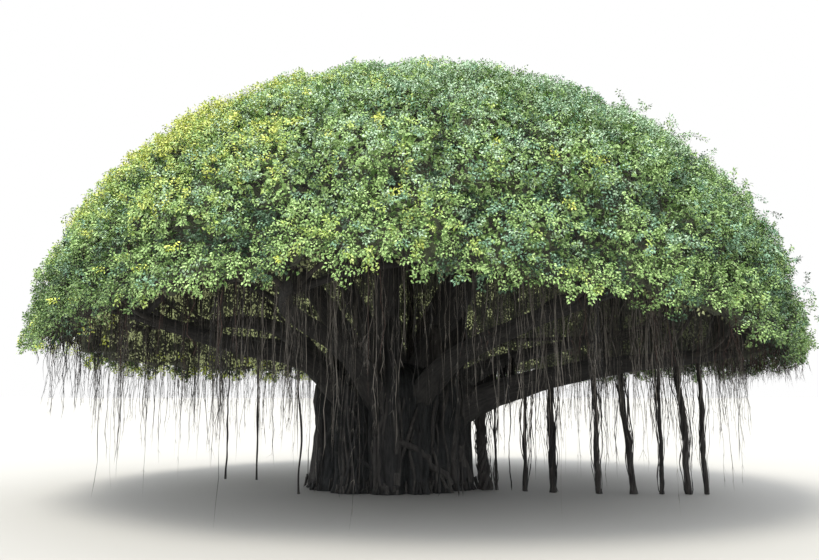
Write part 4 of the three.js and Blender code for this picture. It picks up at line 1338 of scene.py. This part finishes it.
for number, name in enumerate(MASSES):
    parts, tints, stems = [], [], []
    for k, (sprays, leaf) in enumerate(layers):
        mine = sprays["mass"] == number
        tips, growing = sprays["tips"][mine], sprays["growing"][mine]
        corners, quads = leaf_layer(leaf, tips, growing, sprays["facing"][mine], sprays["size"][mine],
                                    90 + 3 * number + k)
        parts.append((corners, [quads]))
        tints.append(np.repeat(sprays["tint"][mine], leaf["count"]))
        bend = tips - growing * leaf["stem"]
        for start, end, radius in zip((sprays["start"][mine], bend), (bend, tips), STEM_RADII):
            stems.append(pointed_tubes(np.stack([start, end], 1), np.full((len(tips), 2), radius), 3))
    corners, faces = joined(parts)
    leaves = mesh_piece("leaves_" + name, corners, faces, leaf_paints, tints=np.concatenate(tints))
    place(leaves, "foliage", "foliage_" + name)
    mine, own = twig_ends["mass"] == number, branches["mass"] == number
    corners, faces = joined([pointed_tubes(branch_path[own], branch_radius[own], 7),
                             pointed_tubes(twig_path[mine], twig_radius[mine], 5), *stems])
    place(smooth(mesh_piece("twigs_" + name, corners, faces, [twig_bark])), "bark")
print("leaf pieces:", len(MASSES))

# %% [markdown]
# Clipping makes a crown so twiggy inside that no sky shows through. A crumpled dark sheet of packed twigs
# stands for that tangle, between the layers of leaves, and its dark green is also painted shade, that of
# the deep inside of the crown. It is one closed skin, out over the dome and back under it, open below like
# the crown.

# %% Tangle of packed twigs
def tangle_mesh(seed):
    """Corners and faces of the two-sided crumpled dome."""
    rng = np.random.default_rng(seed)
    around, rows = TANGLE["around"], TANGLE["rows"]
    azimuth = np.tile(np.linspace(0, 360, around, endpoint=False), (rows, 1))
    at_back, at_front = TANGLE["lift"]
    lift = at_back + (at_front - at_back) * np.clip(-2 * np.sin(np.radians(azimuth)), 0, 1)
    low = rim_angle(azimuth, lift + 0.05 * rng.normal(size=around).clip(-1.5, 1.5))
    angle = low + (88 - low) * np.linspace(0, 1, rows)[:, None]
    depth = TANGLE["depth"] + billow(azimuth.ravel(), angle.ravel())[0].reshape(rows, around)
    depth = depth + TANGLE["crumple"] * rng.normal(size=depth.shape).clip(-2, 2)
    within = (0, TANGLE["thickness"])
    skins = [dome_point(azimuth, angle, depth + extra).reshape(-1, 3) for extra in within]
    poles = [dome_point(0.0, 90.0, TANGLE["depth"] + extra)[None] for extra in within]
    grid = ring_quads(around, rows)
    each, last = rows * around, (rows - 1) * around
    k = np.arange(around)
    on = (k + 1) % around
    cap = np.stack([k + last, on + last, np.full(around, 2 * each)], 1)
    cap_within = np.stack([on + last + each, k + last + each, np.full(around, 2 * each + 1)], 1)
    edge = np.stack([k + each, on + each, on, k], 1)
    return np.concatenate(skins + poles), [grid, grid[:, ::-1] + each, edge, cap, cap_within]


tangle_corners, tangle_faces = tangle_mesh(95)
place(mesh_piece("tangle_of_twigs_and_shade", tangle_corners, tangle_faces, [shaded_tangle_paint]), "foliage")
print("tangle corners:", len(tangle_corners))

# %% [markdown]
# ## Hanging roots
# Aerial roots hang straight down from branches and boughs, alone or a few together, nearly all of them
# ending in the air. Each is a thin pointed tube of one plain tint that wanders a little and is knotted
# where it has branched, and many end in a few short rootlets. How low they reach follows the photograph:
# many end above head height, many between there and the hip, and few come down to the ground.

# %% Strands
STRAND_POINTS = 12
STRAND_RADII = (0.0022, 0.0062)
ROOTLETS = {"share": 0.7, "radius": 0.0022, "lengths": (0.05, 0.16)}  # share of the roots that have them
LIT_FROM_X = 0.6  # metres to the right of the trunk


def strands(heads, lengths, seed):
    """Hanging roots from their heads down by their lengths, with rootlets near their ends."""
    rng = np.random.default_rng(seed)
    count = len(heads)
    s = np.linspace(0, 1, STRAND_POINTS)[None]
    path = np.repeat(heads[:, None], STRAND_POINTS, 1)
    path[..., 2] -= lengths[:, None] * s
    path += wander(rng, count, STRAND_POINTS, 0.034) * np.minimum(1, 2.5 * s)[..., None]
    path[:, :, :2] += rng.normal(size=(count, 1, 2)) * 0.03 * s[..., None]
    knots = 1 + 0.35 * rng.normal(size=(count, STRAND_POINTS)).clip(-1.2, 2)
    radius = rng.uniform(*STRAND_RADII, (count, 1)) * np.interp(s, (0, 1), (1.1, 0.55)) * knots
    tubes = pointed_tubes(outside_trunk(path, 0.01), radius, 3)
    branched = rng.random(count) < ROOTLETS["share"]
    base = np.repeat(path[branched][:, -4:-1].reshape(-1, 3), 2, 0)
    tip = base + rng.normal(size=base.shape) * 0.03
    tip[:, 2] -= rng.uniform(*ROOTLETS["lengths"], len(base))
    rootlets = pointed_tubes(np.stack([base, tip], 1), np.full((len(base), 2), ROOTLETS["radius"]), 3)
    return tubes, rootlets


def tints_at(x):
    """The tints to deal from at a place from left to right: palest on the right, where light comes in."""
    return [PALE, PALE, PALE, BROWN, DARK] if x > LIT_FROM_X else [PALE, BROWN, BROWN]


def hanging_piece(name, groups, seed):
    """One piece of hanging roots. groups are (heads, lengths, tints to deal from)."""
    parts, dealt = [], []
    rng = np.random.default_rng(seed)
    for k, (heads, lengths, tints) in enumerate(groups):
        if not len(heads):
            continue
        tubes, rootlets = strands(heads, lengths, seed + 7 * k + 1)
        tint = np.repeat(rng.choice(tints, len(heads) // 3 + 1), 3)[:len(heads)]
        parts += [tubes, rootlets]
        dealt += [np.repeat(tint, len(f) // len(heads)) for f in tubes[1]]
        dealt += [np.full(len(f), tints[0]) for f in rootlets[1]]
    corners, faces = joined(parts)
    return mesh_piece(name, corners, faces, root_paints, tints=np.concatenate(dealt))


print("strand radii in millimetres:", [round(1000 * radius, 1) for radius in STRAND_RADII])

# %% [markdown]
# Twelve curtains hang from thin limbs of their own, the bearers, which leave a bough and bend round under
# the rim. Where the rim is lifted they rise further. Each piece is built where its solid is, so a bearer
# stands for the solid's curtain and its strands hang from it in bunches of two.

# %% Curtains
UNDER_HIGH_RIM = ("left_front", "front_left", "front_right")
CURTAINS = [  # bough, share along it, the bearer's turn in degrees, length of the roots, the bearer's rise
    (name, 0.9, turn, *((1.15, 0.48) if name in UNDER_HIGH_RIM else (1.0, 0.11)))
    for name, turn in zip(RIM_MASSES, (31, 33) * 4)]
CURTAINS += [("left_front", 0.6, -34, 0.9, 0.42), ("front_left", 0.62, -30, 1.15, 0.7),
             ("front_right", 0.6, 30, 1.15, 0.7), ("front_right", 0.93, -18, 1.2, 0.42)]
BEARER_RADIUS, BEARER_POINTS = 0.05, 26
BUNCHES = 17  # of two roots each, along one bearer

for number, (bough, share, turn, hang, rise) in enumerate(CURTAINS):
    rng = np.random.default_rng(500 + number)
    start = smooth_way(boughs[bough]["points"], [share])[0]
    azimuth = math.degrees(math.atan2(start[1], start[0]))
    out = math.hypot(start[0], start[1])
    points = [start] + [polar(azimuth + turn * k / 3, out * spread, start[2] + rise * up)
                        for k, spread, up in ((1, 1.0, 0.5), (2, 1.01, 0.75), (3, 0.98, 1))]
    shares = np.linspace(0, 1, BEARER_POINTS)
    node_name = "aerial_roots_%02d" % (number + 1)
    radii = BEARER_RADIUS * (1 - 0.4 * shares)
    bearer = swept_limb(node_name + "_bearer", smooth_way(points, shares), radii, sides=10, ribs=3,
                        depth=0.15, lumps=0.14, seed=520 + number, material=bough_bark)
    place(bearer, "root_bark", node_name)
    heads = np.repeat(smooth_way(points, rng.uniform(0.05, 0.98, BUNCHES)), 2, 0)
    heads += rng.uniform(-0.05, 0.05, heads.shape)
    lengths = np.minimum(hang * rng.uniform(0.45, 2.1, len(heads)), heads[:, 2] - 0.25)
    curtain = hanging_piece(node_name + "_strands", [(heads, lengths, tints_at(start[0]))], 540 + number)
    place(curtain, "root_bark")
print("curtains:", len(CURTAINS))

# %% [markdown]
# The rest of the roots hang from the branches and twigs of each mass. Under the rim's left and right
# ends a close brown fringe of short ones hangs just behind the leaves, rustier on the right.

# %% Roots under each mass
END_HEIGHTS = ((0.5, 1.7, 2.7), (0.88, 1.05, 1.9), (0.985, 0.45, 1.2))  # up to which share, lowest, highest
GROUND_END = 0.02  # the few that are left over reach the ground
FRINGE_AT = ((205, 30), (5, 42))  # azimuth and width in degrees of the two crowded stretches
RIGHT_FRINGE = ("right_front", "right_back", "front_right")
FRINGE_END, HIGH_FRINGE_END, RIGHT_FRINGE_END = (1.95, 0.1), (2.3, 0.12), (1.93, 0.09)  # mean and spread
FEW, MANY = 0.28, 0.42  # shares of the branches' points that have roots
LOW_TWIG, FRINGE_TWIG = 40, 16  # degrees up the dome, below which roots hang from twigs and form the fringe


def inner_roots(rng, number, name):
    """Heads, lengths and tints of the roots that hang from one mass's branches and low twigs."""
    low_twigs = (twig_ends["mass"] == number) & (twig_ends["angle"] < LOW_TWIG)
    anchors = branch_path[branches["mass"] == number][:, 2:].reshape(-1, 3)
    share = FEW if "left" in name or name == "upper_front" else MANY
    anchors = np.concatenate([anchors[rng.random(len(anchors)) < share], twig_path[low_twigs][:, 1]])
    heads = np.repeat(anchors, rng.integers(1, 4, len(anchors)), 0)
    heads = heads + rng.uniform(-0.04, 0.04, heads.shape) * (1, 1, 0)
    pick = rng.random(len(heads))
    picked = [pick < up_to for up_to, _, _ in END_HEIGHTS]
    heights = [rng.uniform(lowest, highest, len(heads)) for _, lowest, highest in END_HEIGHTS]
    ends = np.select(picked, heights, GROUND_END)
    lengths = heads[:, 2] - ends
    kept = lengths > 0.25
    return heads[kept], lengths[kept], tints_at(anchors[:, 0].mean())


def fringe_roots(rng, name, fringe):
    """Heads, lengths and tints of the short roots close together behind the rim, from its twigs."""
    azimuth = twig_ends["azimuth"][fringe]
    crowding = sum(7 * np.exp(-((round_from(azimuth, at) / width) ** 2)) for at, width in FRINGE_AT)
    heads = np.repeat(twig_ends["at"][fringe], rng.poisson(0.6 + crowding), 0)
    heads = heads + rng.uniform(-0.25, 0.25, heads.shape) * (1, 1, 0.3)
    count = len(heads)
    short_ends = rng.normal(*(HIGH_FRINGE_END if name == "left_front" else FRINGE_END), count)
    ends = np.where(rng.random(count) < 0.7, short_ends, rng.uniform(1.2, 2.1, count))
    tints = [BROWN, DARK, RUST]
    if name in RIGHT_FRINGE:
        ends, tints = rng.normal(*RIGHT_FRINGE_END, count), [RUST, RUST, BROWN, DARK]
    return heads, np.maximum(heads[:, 2] - ends, 0.12), tints


for number, name in enumerate(MASSES):
    rng = np.random.default_rng(600 + number)
    groups = [inner_roots(rng, number, name)]
    fringe = (twig_ends["mass"] == number) & (twig_ends["angle"] < FRINGE_TWIG)
    if fringe.any():
        groups.append(fringe_roots(rng, name, fringe))
    place(hanging_piece("hanging_roots_" + name, groups, 620 + 20 * number), "root_bark")
print("hanging roots done")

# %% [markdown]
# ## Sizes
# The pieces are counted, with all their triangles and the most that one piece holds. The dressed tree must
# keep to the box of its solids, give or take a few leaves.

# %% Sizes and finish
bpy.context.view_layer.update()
counts = {o.name: sum(len(p.vertices) - 2 for p in o.data.polygons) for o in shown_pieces()}
print("pieces:", len(counts), "triangles:", sum(counts.values()))
print("most in one piece:", max(counts.values()))
